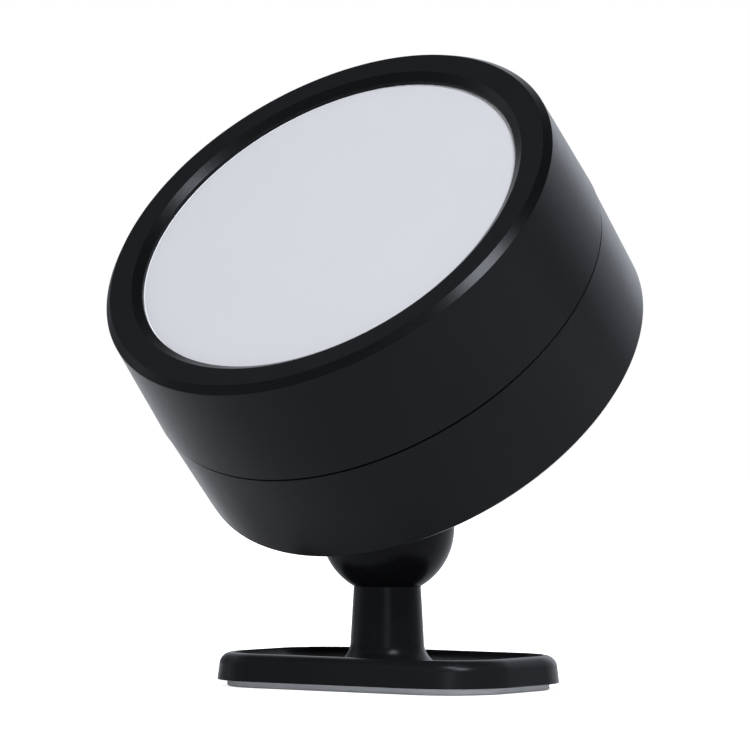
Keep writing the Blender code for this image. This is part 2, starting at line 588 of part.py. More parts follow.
def make_light_engine(drum, frosted, white, alloy, amber, steel, grey):
    """The diffuser, the white box behind it, the board of lamps and the chassis they sit on."""
    edge = DIFFUSER_EDGE
    profile = [(0, DIFFUSER_LOW_W), (DIFFUSER_RADIUS, DIFFUSER_LOW_W),
               (DIFFUSER_RADIUS, DIFFUSER_TOP_W - edge), (DIFFUSER_RADIUS - edge, DIFFUSER_TOP_W),
               (0, DIFFUSER_TOP_W)]
    add("diffuser", spin_profile(profile, SHELL_STEPS), drum, frosted)

    foot = LED_BOARD_TOP_W + FIT_GAP
    elbow = FRONT_BOSS_W + FRONT_BOSS_LENGTH + FIT_GAP
    top = DIFFUSER_LOW_W - FIT_GAP
    wall = LIGHT_BOX_WALL
    flange = DIFFUSER_RADIUS
    profile = [(LIGHT_BOX_FOOT_RADIUS, foot), (LIGHT_BOX_ELBOW_RADIUS, elbow),
               (flange, top - wall), (flange, top), (flange - 2 * wall, top),
               (LIGHT_BOX_ELBOW_RADIUS - wall, elbow), (LIGHT_BOX_FOOT_RADIUS - wall, foot)]
    add("light_box", spin_profile(profile, SHELL_STEPS), drum, white)

    board = add("led_board", cylinder(LED_BOARD_RADIUS, LED_BOARD_W, LED_BOARD_TOP_W, SHELL_STEPS),
                drum, alloy)
    chassis_radius = HEAD_INNER_RADIUS - FIT_GAP
    chassis = add("chassis", cylinder(chassis_radius, CHASSIS_W, CHASSIS_TOP_W, SHELL_STEPS),
                  drum, grey)
    low = CHASSIS_W - CUT_OVERRUN
    high = LED_BOARD_TOP_W + CUT_OVERRUN
    small_hole = SMALL_SCREW_RADIUS + FIT_GAP
    board_holes = None
    chassis_holes = cylinder(LEAD_HOLE_RADIUS, low, high, ROUND_STEPS, (PLUG_X, PLUG_V, 0))
    sizes = (SMALL_SCREW_RADIUS, SMALL_SCREW_HEAD_RADIUS, SMALL_SCREW_HEAD,
             LED_BOARD_THICKNESS + CHASSIS_THICKNESS + FIT_GAP)
    for i, (x, v) in enumerate(around(LED_SCREW_COUNT, LED_SCREW_RING, -pi / 2)):
        board_holes = cylinder(small_hole, low, high, SCREW_STEPS, (x, v, 0), board_holes)
        chassis_holes = cylinder(small_hole, low, high, SCREW_STEPS, (x, v, 0), chassis_holes)
        screw(f"led_screw_{i + 1}", drum, steel, (x, v, LED_BOARD_TOP_W + FIT_GAP), sizes)
    for x, v in around(COVER_SCREW_COUNT, COVER_SCREW_RING):
        chassis_holes = cylinder(COVER_SCREW_RADIUS + FIT_GAP, low, high, SCREW_STEPS, (x, v, 0),
                                 chassis_holes)
    boolean(board, "DIFFERENCE", board_holes)
    boolean(chassis, "DIFFERENCE", chassis_holes)

    spots = [*around(LED_OUTER_COUNT, LED_OUTER_RING), *around(LED_INNER_COUNT, LED_INNER_RING)]
    low = LED_BOARD_TOP_W + SOLDER_GAP
    for i, (x, v) in enumerate(spots):
        chip = block(LED_LENGTH, LED_WIDTH, low, low + LED_HEIGHT)
        add(f"led_{i + 1}", chip, drum, amber, (x, v, 0), smooth=False)


def make_cover_screws(drum, steel):
    """Three screws that clamp the rear cover, the chassis and the front housing together."""
    seat = COVER_SCREW_DEPTH - FIT_GAP
    length = FRONT_BOSS_W + COVER_SCREW_BITE - seat
    sizes = (COVER_SCREW_RADIUS, COVER_SCREW_HEAD_RADIUS, COVER_SCREW_HEAD, length)
    for i, (x, v) in enumerate(around(COVER_SCREW_COUNT, COVER_SCREW_RING)):
        screw(f"cover_screw_{i + 1}", drum, steel, (x, v, seat), sizes, head_up=False)


def make_electronics(drum, green, steel, dark, cream, foil, foam_grey):
    """The main board with its socket, switch and parts, and the battery on the chassis."""
    outline = oblong(BOARD_LENGTH, BOARD_WIDTH, BOARD_CORNER)
    board = add("main_board", stack([(outline, BOARD_W), (outline, BOARD_TOP_W)]), drum, green,
                (0, BOARD_V, 0))
    holes = None
    sizes = (SMALL_SCREW_RADIUS, SMALL_SCREW_HEAD_RADIUS, SMALL_SCREW_HEAD,
             BOARD_THICKNESS + BOARD_SCREW_BITE)
    for i, side in enumerate((-1, 1)):
        x = side * BOARD_BOSS_X
        place = (x, BOARD_BOSS_V - BOARD_V, 0)
        holes = cylinder(SMALL_SCREW_RADIUS + FIT_GAP, BOARD_W - CUT_OVERRUN,
                         BOARD_TOP_W + CUT_OVERRUN, SCREW_STEPS, place, holes)
        screw(f"board_screw_{i + 1}", drum, steel, (x, BOARD_BOSS_V, BOARD_TOP_W + FIT_GAP), sizes)
    boolean(board, "DIFFERENCE", holes)

    corner = SOCKET_HEIGHT / 2 - WELD_DISTANCE
    shell = oblong(SOCKET_WIDTH, SOCKET_HEIGHT, corner)
    mouth = oblong(SOCKET_WIDTH - 2 * SOCKET_WALL, SOCKET_HEIGHT - 2 * SOCKET_WALL,
                   corner - SOCKET_WALL)
    back = SOCKET_SUNK + SOCKET_LENGTH
    mouth_back = SOCKET_SUNK + SOCKET_MOUTH_DEPTH
    socket = add("charging_socket", stack([(shell, SOCKET_SUNK), (shell, back)]), drum, steel,
                 (0, SOCKET_V, 0))
    boolean(socket, "DIFFERENCE", stack([(mouth, SOCKET_SUNK - CUT_OVERRUN), (mouth, mouth_back)]))
    boolean(socket, "UNION", block(TONGUE_WIDTH, TONGUE_HEIGHT, SOCKET_SUNK + TONGUE_SUNK,
                                   mouth_back + CUT_OVERRUN))

    body_low = SWITCH_LOW_W + SWITCH_PLUNGER
    body_high = BOARD_W - SOLDER_GAP
    switch = add("tact_switch", block(SWITCH_SIZE, SWITCH_SIZE, body_low, body_high, PART_EDGE),
                 drum, dark, (0, BUTTON_V, 0))
    boolean(switch, "UNION", cylinder(SWITCH_PLUNGER_RADIUS, SWITCH_LOW_W, (body_low + body_high) / 2,
                                      SCREW_STEPS))

    low = BOARD_PARTS_W
    parts = [("charge_chip", CHIP_LENGTH, CHIP_WIDTH, CHIP_HEIGHT, -CHIP_X, PARTS_UPPER_V, dark),
             ("inductor", COIL_SIZE, COIL_SIZE, COIL_HEIGHT, COIL_X, PARTS_UPPER_V, dark),
             ("battery_plug", PLUG_LENGTH, PLUG_WIDTH, PLUG_HEIGHT, -PLUG_X, PLUG_V, cream),
             ("led_plug", PLUG_LENGTH, PLUG_WIDTH, PLUG_HEIGHT, PLUG_X, PLUG_V, cream)]
    for name, length, width, height, x, v, mat in parts:
        add(name, block(length, width, low, low + height, PART_EDGE), drum, mat, (x, v, 0))

    cell = block(BATTERY_LENGTH, BATTERY_WIDTH, BATTERY_W, BATTERY_TOP_W, BATTERY_EDGE)
    add("battery", cell, drum, foil, (0, BATTERY_V, 0))
    foam = block(BATTERY_LENGTH - 2 * FOAM_INSET, BATTERY_WIDTH - 2 * FOAM_INSET,
                 BATTERY_TOP_W + FIT_GAP, BATTERY_TOP_W + FIT_GAP + FOAM_THICKNESS)
    add("battery_foam", foam, drum, foam_grey, (0, BATTERY_V, 0), smooth=False)


def make_leads(drum, red, dark):
    """Two leads from the battery to its plug, and two from the other plug to the lamp board."""
    battery_end = BATTERY_V + BATTERY_WIDTH / 2 + FIT_GAP
    battery_mid = (BATTERY_W + BATTERY_TOP_W) / 2
    plug_side = PLUG_V - PLUG_WIDTH / 2 - FIT_GAP
    plug_mid = BOARD_PARTS_W + PLUG_HEIGHT / 2
    plug_top = BOARD_PARTS_W + PLUG_HEIGHT + FIT_GAP
    for side, colour, mat in ((-1, "red", red), (1, "black", dark)):
        x = side * LEAD_PITCH / 2 - PLUG_X
        middle = (x, (battery_end + plug_side) / 2, (battery_mid + plug_mid) / 2 + LEAD_BOW)
        lead(f"battery_lead_{colour}", drum, mat,
             [(x, battery_end, battery_mid), middle, (x, plug_side, plug_mid)])
        x = side * LEAD_PITCH / 2 + PLUG_X
        middle = (x, PLUG_V + LEAD_BOW, (plug_top + LED_BOARD_W) / 2)
        lead(f"led_lead_{colour}", drum, mat,
             [(x, PLUG_V, plug_top), middle, (x, PLUG_V, LED_BOARD_W - FIT_GAP)])


def make_button(drum, black):
    """The power button in the rear face. It travels along the drum's axis."""
    flange_low = REAR_FLOOR + FIT_GAP
    stem_top = BUTTON_STEM_W + BUTTON_STEM
    flange_radius = BUTTON_RADIUS + BUTTON_FLANGE_LIP
    profile = [(0, -BUTTON_PROUD), (BUTTON_RADIUS - BUTTON_EDGE, -BUTTON_PROUD),
               (BUTTON_RADIUS, BUTTON_EDGE - BUTTON_PROUD), (BUTTON_RADIUS, flange_low),
               (flange_radius, flange_low), (flange_radius, BUTTON_STEM_W),
               (BUTTON_STEM_RADIUS, BUTTON_STEM_W), (BUTTON_STEM_RADIUS, stem_top), (0, stem_top)]
    add("power_button", spin_profile(profile, ROUND_STEPS), drum, black, (0, BUTTON_V, 0))


def main():
    clear_scene()
    black = finish("black_satin", (0.012, 0.012, 0.013), 0.42)
    pad_grey = finish("pad_grey", (0.30, 0.30, 0.32), 0.75)
    steel = finish("zinc_steel", (0.55, 0.55, 0.56), 0.35, 1.0)
    magnet_metal = finish("nickel", (0.62, 0.60, 0.57), 0.25, 1.0)
    frosted = finish("frosted_white", (0.66, 0.68, 0.73), 0.5)
    white = finish("white_plastic", (0.80, 0.80, 0.78), 0.5)
    alloy = finish("board_white", (0.78, 0.79, 0.78), 0.4)
    amber = finish("lamp_yellow", (0.75, 0.55, 0.12), 0.4)
    green = finish("board_green", (0.02, 0.14, 0.07), 0.4)
    dark = finish("part_black", (0.02, 0.02, 0.02), 0.5)
    cream = finish("plug_cream", (0.75, 0.70, 0.58), 0.5)
    foil = finish("cell_foil", (0.50, 0.51, 0.54), 0.4, 0.8)
    foam_grey = finish("foam_grey", (0.10, 0.10, 0.10), 0.9)
    chassis_grey = finish("chassis_grey", (0.05, 0.05, 0.05), 0.55)
    red = finish("lead_red", (0.50, 0.02, 0.02), 0.5)

    root = frame("base_frame")
    ball_frame = frame("ball_frame", root, (0, 0, BALL_HEIGHT))
    head_frame = frame("head_frame", ball_frame, tilt=radians(HEAD_TILT_DEG))
    seat_frame = frame("seat_frame", head_frame, (0, 0, BALL_TO_REAR))
    drum = frame("drum_frame", head_frame, (0, SEAT_OFFSET, BALL_TO_REAR))

    make_base(root, black, pad_grey, steel)
    make_post(root, black)
    make_ball(ball_frame, black)
    make_seat(seat_frame, black, magnet_metal)
    make_front_housing(drum, black)
    make_rear_cover(drum, black)
    make_light_engine(drum, frosted, white, alloy, amber, steel, chassis_grey)
    make_cover_screws(drum, steel)
    make_electronics(drum, green, steel, dark, cream, foil, foam_grey)
    make_leads(drum, red, dark)
    make_button(drum, black)
    bpy.context.view_layer.update()


main()
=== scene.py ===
import json
from math import acos, atan2, cos, hypot, pi, radians, sin, sqrt, tan

import bmesh
import bpy
from mathutils import Matrix, Vector


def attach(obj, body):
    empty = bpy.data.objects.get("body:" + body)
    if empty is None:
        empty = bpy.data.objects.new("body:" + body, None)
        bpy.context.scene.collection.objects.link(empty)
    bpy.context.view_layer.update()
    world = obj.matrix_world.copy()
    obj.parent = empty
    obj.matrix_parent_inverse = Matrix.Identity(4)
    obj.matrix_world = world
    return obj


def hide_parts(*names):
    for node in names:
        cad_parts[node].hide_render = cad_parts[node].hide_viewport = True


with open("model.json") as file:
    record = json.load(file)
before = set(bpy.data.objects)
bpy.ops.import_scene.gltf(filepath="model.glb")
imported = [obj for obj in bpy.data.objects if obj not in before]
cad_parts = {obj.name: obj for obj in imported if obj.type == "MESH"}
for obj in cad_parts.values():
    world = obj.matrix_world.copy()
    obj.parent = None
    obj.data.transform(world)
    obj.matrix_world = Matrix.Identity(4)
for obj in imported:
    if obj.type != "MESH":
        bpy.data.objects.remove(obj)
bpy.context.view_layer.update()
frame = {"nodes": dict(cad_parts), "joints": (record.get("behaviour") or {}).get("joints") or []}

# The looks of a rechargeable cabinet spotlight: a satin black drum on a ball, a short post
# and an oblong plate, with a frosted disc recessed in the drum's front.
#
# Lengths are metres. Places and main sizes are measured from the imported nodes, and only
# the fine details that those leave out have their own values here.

MM = 0.001
NODES = frame["nodes"]
JOINTS = {joint["name"]: joint for joint in frame["joints"]}

# How finely round surfaces are divided
SHELL_STEPS = 224
ROUND_STEPS = 96
HOLE_STEPS = 64
SCREW_STEPS = 32
CORNER_STEPS = 20
ARC_STEPS = 5
SHARP_ANGLE = radians(35)

# Photograph: where it was taken from, in the 750 by 750 frame
PHOTO_SIZE = 750
BALL_PIXEL = (387.42, 527.91)
FOCAL_PIXELS = 4141.0
PIXELS_PER_METRE = 6700.0
CAMERA_AZIMUTH = radians(35.38)
CAMERA_ELEVATION = radians(-1.04)
CAMERA_ROLL = radians(0.10)
SENSOR = 36.0
CLIP_START = 0.01

# Light levels, and for each lamp the way to it from the head, its size and its power
WORLD_FILL = 0.25
# Where the room is darker in gloss: a direction, the cosines at which the shade starts and is
# full, and how much it takes off.
SHADES = (((0.0, 0.0, 1.0), 0.45, 0.80, 0.85),
          ((0.0, -1.0, 0.0), 0.0, 0.6, 0.60),
          ((1.0, 0.0, 0.0), 0.25, 0.60, 0.60),
          ((-0.579, 0.815, 0.0), 0.88, 0.985, 0.30),
          ((-0.93, 0.35, 0.12), 0.82, 0.97, 0.75))
# How far the room's gloss and the lamps lean to blue, by channel, and the floor
SHEEN_TINT = (-0.055, 0.0, 0.10)
LAMP_TINT = (0.945, 1.0, 1.10)
FLOOR_SIZE = 8.0
FLOOR_GLOW = 0.82
FLOOR_SHEEN = 0.10
LAMP_DISTANCE = 1.8
KEY_LAMP = (Vector((0.642, -0.425, 0.638)), 0.52, 23.5)
TOP_LAMP = (Vector((0.365, -0.425, 0.828)), 0.31, 12.0)
LEFT_LAMP = (Vector((-0.66, 0.62, 0.43)), 0.84, 11.5)
BACK_LAMP = (Vector((-0.20, 0.955, 0.22)), 0.80, 0.7)
CAMERA_LAMP = (Vector((0.579, -0.815, 0.12)), 0.50, 2.0)

# Clearances and eased edges
TOUCH = 0.02 * MM
CUT_OVERRUN = 1.0 * MM
MOUTH_CHAMFER = 0.25 * MM
EDGE_BREAK = 0.16 * MM
FINE_BREAK = 0.05 * MM
POLE = 0.0002 * MM
STRAIGHT = 0.01
ROW_NUDGE = 0.001

# Fine details of the drum
SEAM = 0.38 * MM
SEAM_BREAK = 0.03 * MM
SEAM_TONGUE_REACH = 1.2 * MM
SEAM_TONGUE_WALL = 0.8 * MM
SEAM_TONGUE_GAP = 0.12 * MM
FRONT_DRAFT = 0.68 * MM
REAR_DRAFT = 0.1 * MM
CHAMFER_IN = 1.04 * MM
CHAMFER_BACK = 1.01 * MM
BEZEL_DISH = 0.18 * MM
BEZEL_SLOPE_IN = 1.35 * MM
BEZEL_SLOPE_BACK = 1.07 * MM
BEVEL_LEAST = 0.3
BEVEL_MOST = 0.95
BEVEL_TONE = 0.3
BEVEL_COAT = 0.10
BEVEL_ROUGHNESS = 0.26
DIFFUSER_SINK = 0.33 * MM
# Width of the band at the frosted disc's visible edge that gets a painted highlight
PAINTED_GLINT_BAND = 0.16 * MM
DIFFUSER_LAP = 1.8 * MM
DIFFUSER_EDGE = 0.2 * MM
POCKET_GAP = 0.1 * MM
POCKET_SKIRT = 0.5 * MM
FRONT_WALL = 2.2 * MM
REAR_WALL = 3.4 * MM
REAR_FLOOR = 2.2 * MM
REAR_CHAMFER = 0.5 * MM

# Fine details of the seat, the button and the bosses
SEAT_FLANGE = 2.0 * MM
SEAT_GAP = 0.06 * MM
SEAT_LEDGE = 2.5 * MM
SEAT_BORE = 7.8 * MM
SEAT_SKIN = 1.1 * MM
BUTTON_RADIUS = 4.5 * MM
BUTTON_GAP = 0.12 * MM
BUTTON_DISH = 0.22 * MM
BUTTON_ROUND = 0.35 * MM
BUTTON_FLANGE = 0.8 * MM
BUTTON_STEM_RADIUS = 1.4 * MM
SCREW_WELL_RADIUS = 2.2 * MM
SCREW_WELL_DEPTH = 9.8 * MM
SCREW_BOSS_RADIUS = 3.0 * MM
BOARD_BOSS_RADIUS = 2.6 * MM
BOARD_BOSS_GAP = 0.3 * MM
PILOT_GAP = 0.3 * MM

# Fine details of the charging socket
SOCKET_WALL = 0.35 * MM
SOCKET_DEPTH = 5.5 * MM
SOCKET_GAP = 0.12 * MM
SOCKET_TONGUE_WIDTH = 6.6 * MM
SOCKET_TONGUE_HEIGHT = 0.7 * MM
SOCKET_TONGUE_SUNK = 0.9 * MM
CONTACT_COUNT = 12
CONTACT_PITCH = 0.5 * MM
CONTACT_WIDTH = 0.26 * MM
CONTACT_RISE = 0.04 * MM
CONTACT_LENGTH = 3.2 * MM
CONTACT_SUNK = 0.5 * MM

# Screws: shank radius, head height, thread pitch and depth, cross recess
COVER_SCREW = (1.0 * MM, 1.4 * MM)
SMALL_SCREW = (0.8 * MM, 1.0 * MM)
POST_SCREW = (1.25 * MM, 1.1 * MM)
THREAD_PITCH = 0.55 * MM
THREAD_DEPTH = 0.16 * MM
THREAD_START = 0.4 * MM
CROWN_SHARE = 0.35
RECESS_WIDTH_SHARE = 0.24
RECESS_SPAN_SHARE = 1.15
RECESS_DEPTH_SHARE = 0.5

# Lamp chips and the small parts on the boards
CHIP_RINGS = ((8, "led_1"), (4, "led_9"))
CHIP_CUP_RADIUS = 1.15 * MM
CHIP_CUP_DEPTH = 0.3 * MM
CHIP_CUP_SLOPE = 0.12 * MM
LENS_RISE = 0.18 * MM
LEG_COUNT = 4
LEG_PITCH = 1.1 * MM
LEG_WIDTH = 0.36 * MM
LEG_THICKNESS = 0.14 * MM
LEG_REACH = 0.75 * MM
LEG_SHOULDER_SHARE = 0.5
PLUNGER_RADIUS = 1.6 * MM
PLUNGER_HEIGHT = 0.7 * MM
CHIP_EDGE = 0.12 * MM
COIL_EDGE = 0.5 * MM
PLUG_EDGE = 0.3 * MM
CELL_EDGE = 1.2 * MM
CELL_FOAM_EDGE = 0.15 * MM

# Fine details of the stand
PLATE_CORNER = 11.0 * MM
PLATE_FILLET = 1.9 * MM
PLATE_FOOT = 0.06 * MM
PLATE_DRAFT = 0.25 * MM
RIM_WIDTH = 0.15 * MM
RIM_CROWN = 0.12 * MM
TRAY_SLOPE = 4.2 * MM
TRAY_DEPTH = 1.6 * MM
POST_TOP = 5.02 * MM
POST_LOW = 5.50 * MM
POST_FLARE = 3.4 * MM
PAD_EDGE = 0.3 * MM

# Finishes: how coarse and how deep each pattern is, and the tones that have no node of their own
MOULD_GRAIN = 0.16 * MM
MOULD_DEPTH = 0.004 * MM
MOULD_CLOUD = 9 * MM
MOULD_RUB = 3.5 * MM
FROST_CLOUD = 16 * MM
FROST_BLOOM = 0.09 * MM
FROST_DEPTH = 0.0015 * MM
FROST_DEEP = (0.552, 0.543, 0.541, 1)
FROST_PALE = (0.567, 0.558, 0.556, 1)
# Painted highlight: the pale tone of the band along the frosted disc's visible edge
PAINTED_GLINT_BAND_TONE = (0.86, 0.86, 0.86, 1)
FOAM_CLOUD = 4 * MM
PORE_DEPTH = 0.02 * MM
DRAWN_MARK = 0.3 * MM
DRAWN_DEPTH = 0.003 * MM
TRACK_SIZE = 3.2 * MM
TRACK_LINE = 0.03
TRACK_DEPTH = 0.01 * MM
SPECK_SIZE = 0.9 * MM
SPECK_TONE = (0.72, 0.70, 0.62, 1)
FOLD_SIZE = 5 * MM
FOLD_DEPTH = 0.15 * MM
FILM_DEEP = (0.44, 0.45, 0.48, 1)
FILM_PALE = (0.56, 0.57, 0.60, 1)
GEL_GRAIN = 0.12 * MM
GEL_DEPTH = 0.004 * MM
GEL_DEEP = (0.66, 0.45, 0.07, 1)
GEL_PALE = (0.82, 0.62, 0.16, 1)

# Frame of the head: x across, v up the slope, w along the drum's axis
BALL_CENTRE = Vector(JOINTS["ball_tilt"]["pos_m"])
HEAD_AXIS = Vector(JOINTS["head_spin"]["axis"]).normalized()
ACROSS = Vector((1, 0, 0))
UP_SLOPE = HEAD_AXIS.cross(ACROSS)
WORLD = Matrix.Identity(4)


def frame_at(origin):
    turn = Matrix((ACROSS, UP_SLOPE, HEAD_AXIS)).transposed().to_4x4()
    return Matrix.Translation(origin) @ turn


def span(node, matrix, axis):
    """Lowest and highest place of a node along one axis of a frame."""
    back = matrix.inverted()
    places = [(back @ vertex.co)[axis] for vertex in NODES[node].data.vertices]
    return min(places), max(places)


def middle(node, matrix, axis):
    return sum(span(node, matrix, axis)) / 2


def node_box(node, matrix):
    """Lowest and highest corner of a node's box in a frame."""
    return tuple(zip(*(span(node, matrix, axis) for axis in range(3))))


BALL = frame_at(BALL_CENTRE)
REAR_W = span("rear_cover", BALL, 2)[0]
SEAT = frame_at(BALL_CENTRE + HEAD_AXIS * REAR_W)
DRUM = frame_at(BALL_CENTRE + UP_SLOPE * middle("front_housing", BALL, 1) + HEAD_AXIS * REAR_W)

HEAD_RADIUS = span("front_housing", DRUM, 0)[1]
REAR_RADIUS = span("rear_cover", DRUM, 0)[1]
HEAD_DEPTH = span("front_housing", DRUM, 2)[1]
SEAM_W = (span("rear_cover", DRUM, 2)[1] + span("front_housing", DRUM, 2)[0]) / 2
DIFFUSER_BACK, DIFFUSER_W = span("diffuser", DRUM, 2)
DIFFUSER_RADIUS = span("diffuser", DRUM, 0)[1]
LIGHT_RADIUS = DIFFUSER_RADIUS - DIFFUSER_LAP
BALL_RADIUS = span("ball", WORLD, 0)[1]
SEAT_FLANGE_RADIUS = span("ball_seat", SEAT, 0)[1]
SEAT_RADIUS = SEAT_FLANGE_RADIUS - SEAT_FLANGE
SEAT_TOP = span("ball_seat", SEAT, 2)[1]
PLATE_LENGTH = 2 * span("base_plate", WORLD, 0)[1]
PLATE_WIDTH = 2 * span("base_plate", WORLD, 1)[1]
PLATE_LOW, PLATE_TOP = span("base_plate", WORLD, 2)
PAD_LENGTH = 2 * span("adhesive_pad", WORLD, 0)[1]
PAD_TOP = span("adhesive_pad", WORLD, 2)[1]
TRAY_FLOOR = PLATE_TOP - TRAY_DEPTH


class Flow:
    """A node's output that Python's own arithmetic works on."""

    def __init__(self, graph, socket):
        self.graph = graph
        self.socket = socket

    def maths(self, operation, *others):
        return self.graph.node("ShaderNodeMath", {"operation": operation}, [self, *others])

    def __add__(self, other):
        return self.maths("ADD", other)

    __radd__ = __add__

    def __mul__(self, other):
        return self.maths("MULTIPLY", other)

    __rmul__ = __mul__

    def __sub__(self, other):
        return self.maths("SUBTRACT", other)

    def __rsub__(self, other):
        return (self * -1) + other

    def __truediv__(self, other):
        return self.maths("DIVIDE", other)

    def __rtruediv__(self, other):
        return self.maths("POWER", -1.0) * other


class Graph:
    """A node tree under construction."""

    def __init__(self, tree):
        self.tree = tree

    def feed(self, socket, value):
        if isinstance(value, Flow):
            self.tree.links.new(value.socket, socket)
        else:
            socket.default_value = value

    def node(self, kind, settings, values, out=0):
        """Any node: its settings first, then its sockets, by order or by name."""
        made = self.tree.nodes.new(kind)
        for name, setting in settings.items():
            if name == "stops":
                self.set_stops(made.color_ramp, setting)
            else:
                setattr(made, name, setting)
        pairs = values.items() if isinstance(values, dict) else enumerate(values)
        for key, value in pairs:
            self.feed(made.inputs[key], value)
        return Flow(self, made.outputs[out])

    def set_stops(self, ramp, stops):
        while len(ramp.elements) < len(stops):
            ramp.elements.new(0.5)
        for element, (position, shade) in zip(ramp.elements, stops):
            element.position = position
            element.color = (shade, shade, shade, 1)


class Finish(Graph):
    """A node material."""

    def __init__(self, name):
        self.material = bpy.data.materials.new(name)
        self.material.use_nodes = True
        super().__init__(self.material.node_tree)
        self.shader = self.tree.nodes["Principled BSDF"]
        self.place = self.node("ShaderNodeTexCoord", {}, [], "Object")

    def noise(self, size, detail=2.0):
        """Even noise from 0 to 1, with features of about that size in metres."""
        values = {"Vector": self.place, "Scale": 1 / size, "Detail": detail}
        return self.node("ShaderNodeTexNoise", {}, values, "Fac")

    def cells(self, size, randomness=1.0):
        """Distance from the middle of the nearest cell of about that size in metres."""
        values = {"Vector": self.place, "Scale": 1 / size, "Randomness": randomness}
        return self.node("ShaderNodeTexVoronoi", {}, values, "Distance")

    def ramp(self, value, stops):
        return self.node("ShaderNodeValToRGB", {"stops": stops}, [value])

    def mix(self, share, first, second):
        settings = {"data_type": "RGBA", "blend_type": "MIX"}
        return self.node("ShaderNodeMix", settings, {0: share, 6: first, 7: second}, 2)

    def marked(self, name):
        return self.node("ShaderNodeAttribute", {"attribute_name": name}, [], "Fac")

    def bump(self, height, depth, strength=1.0):
        values = {"Height": height, "Distance": depth, "Strength": strength}
        return self.node("ShaderNodeBump", {}, values)

    def use(self, **sockets):
        for name, value in sockets.items():
            self.feed(self.shader.inputs[name.replace("_", " ")], value)
        return self.material


class Layout(Graph):
    """A tree of geometry nodes that starts from a mesh and has named inputs."""

    def __init__(self, name, inputs):
        super().__init__(bpy.data.node_groups.new(name, "GeometryNodeTree"))
        kinds = {"Start": "Geometry", **inputs, "Finish": "Material"}
        for label, kind in kinds.items():
            self.tree.interface.new_socket(label, in_out="INPUT", socket_type="NodeSocket" + kind)
        self.tree.interface.new_socket("Made", in_out="OUTPUT", socket_type="NodeSocketGeometry")
        self.given = self.tree.nodes.new("NodeGroupInput")

    def input(self, label):
        return Flow(self, self.given.outputs[label])

    def place(self, x, y, z):
        return self.node("ShaderNodeCombineXYZ", {}, [x, y, z])

    def end(self, made):
        """Turn copies into real geometry, give it its material, and end the tree."""
        real = self.node("GeometryNodeRealizeInstances", {}, [made])
        done = self.node("GeometryNodeSetMaterial", {},
                         {"Geometry": real, "Material": self.input("Finish")})
        self.feed(self.tree.nodes.new("NodeGroupOutput").inputs["Made"], done)
        return self

    def grow(self, name, matrix, values, start=None):
        """Run the tree once and keep what it makes as a plain mesh, put in its place."""
        thing = raw_object(name, start or bmesh.new())
        modifier = thing.modifiers.new(name, "NODES")
        modifier.node_group = self.tree
        for item in self.tree.interface.items_tree:
            if item.in_out == "INPUT" and item.name in values:
                modifier[item.identifier] = values[item.name]
        settle(thing)
        thing.data.transform(matrix)
        return thing


def tone(colour, factor):
    return (*(channel * factor for channel in colour), 1.0)


def moulded(name, colour, roughness, grain=MOULD_GRAIN, depth=MOULD_DEPTH, gloss=0.5, spread=0.12,
            bevel_tone=1.0, bevel_coat=0.0):
    """Moulded plastic: an even spark-eroded grain, faint flow marks and slight rubbing.

    Faces marked as bevels are deeper in tone and a little glossier.
    """
    finish = Finish(name)
    cloud = finish.noise(MOULD_CLOUD, 3.0)
    fine = finish.noise(grain, 1.0)
    rub = finish.ramp(finish.noise(MOULD_RUB, 5.0), [(0.55, 0.0), (0.75, 1.0)])
    base = finish.mix(cloud, tone(colour, 1 - spread), tone(colour, 1 + spread))
    bevel = finish.marked("bevel")
    base = finish.mix(bevel, base, tone(colour, bevel_tone))
    height = fine + 0.35 * finish.noise(grain * 3, 1.0)
    return finish.use(Base_Color=base, Roughness=(roughness + 0.05 * cloud - 0.04 * rub),
                      Specular_IOR_Level=gloss, Normal=finish.bump(height, depth),
                      Coat_Weight=bevel * bevel_coat, Coat_Roughness=BEVEL_ROUGHNESS)


def frosted_disc():
    """Frosted sheet: pale and even, with a very fine bloom and a painted highlight line at its edge."""
    finish = Finish("frosted_sheet")
    cloud = finish.noise(FROST_CLOUD, 2.0)
    base = finish.mix(cloud, FROST_DEEP, FROST_PALE)
    # Painted highlight: the marked band along the visible edge is paler than the rest of the sheet
    base = finish.mix(finish.marked("edge_line"), base, PAINTED_GLINT_BAND_TONE)
    bloom = finish.noise(FROST_BLOOM, 1.0)
    return finish.use(Base_Color=base, Roughness=0.55 + 0.05 * bloom, Specular_IOR_Level=0.15,
                      Normal=finish.bump(bloom, FROST_DEPTH))


def foam(name, dark, light, cell):
    """Closed-cell foam: matt, with small cells and a soft mottle."""
    finish = Finish(name)
    pores = finish.cells(cell)
    cloud = finish.noise(FOAM_CLOUD, 3.0)
    base = finish.mix(cloud, dark, light)
    return finish.use(Base_Color=base, Roughness=0.7 + 0.15 * pores, Specular_IOR_Level=0.25,
                      Normal=finish.bump(pores, PORE_DEPTH))


def plated(name, colour, roughness):
    """Plated metal with fine drawn marks."""
    finish = Finish(name)
    marks = finish.noise(DRAWN_MARK, 4.0)
    base = finish.mix(marks, tone(colour, 0.88), tone(colour, 1.06))
    return finish.use(Base_Color=base, Metallic=1.0, Roughness=roughness + 0.1 * marks,
                      Normal=finish.bump(marks, DRAWN_DEPTH))


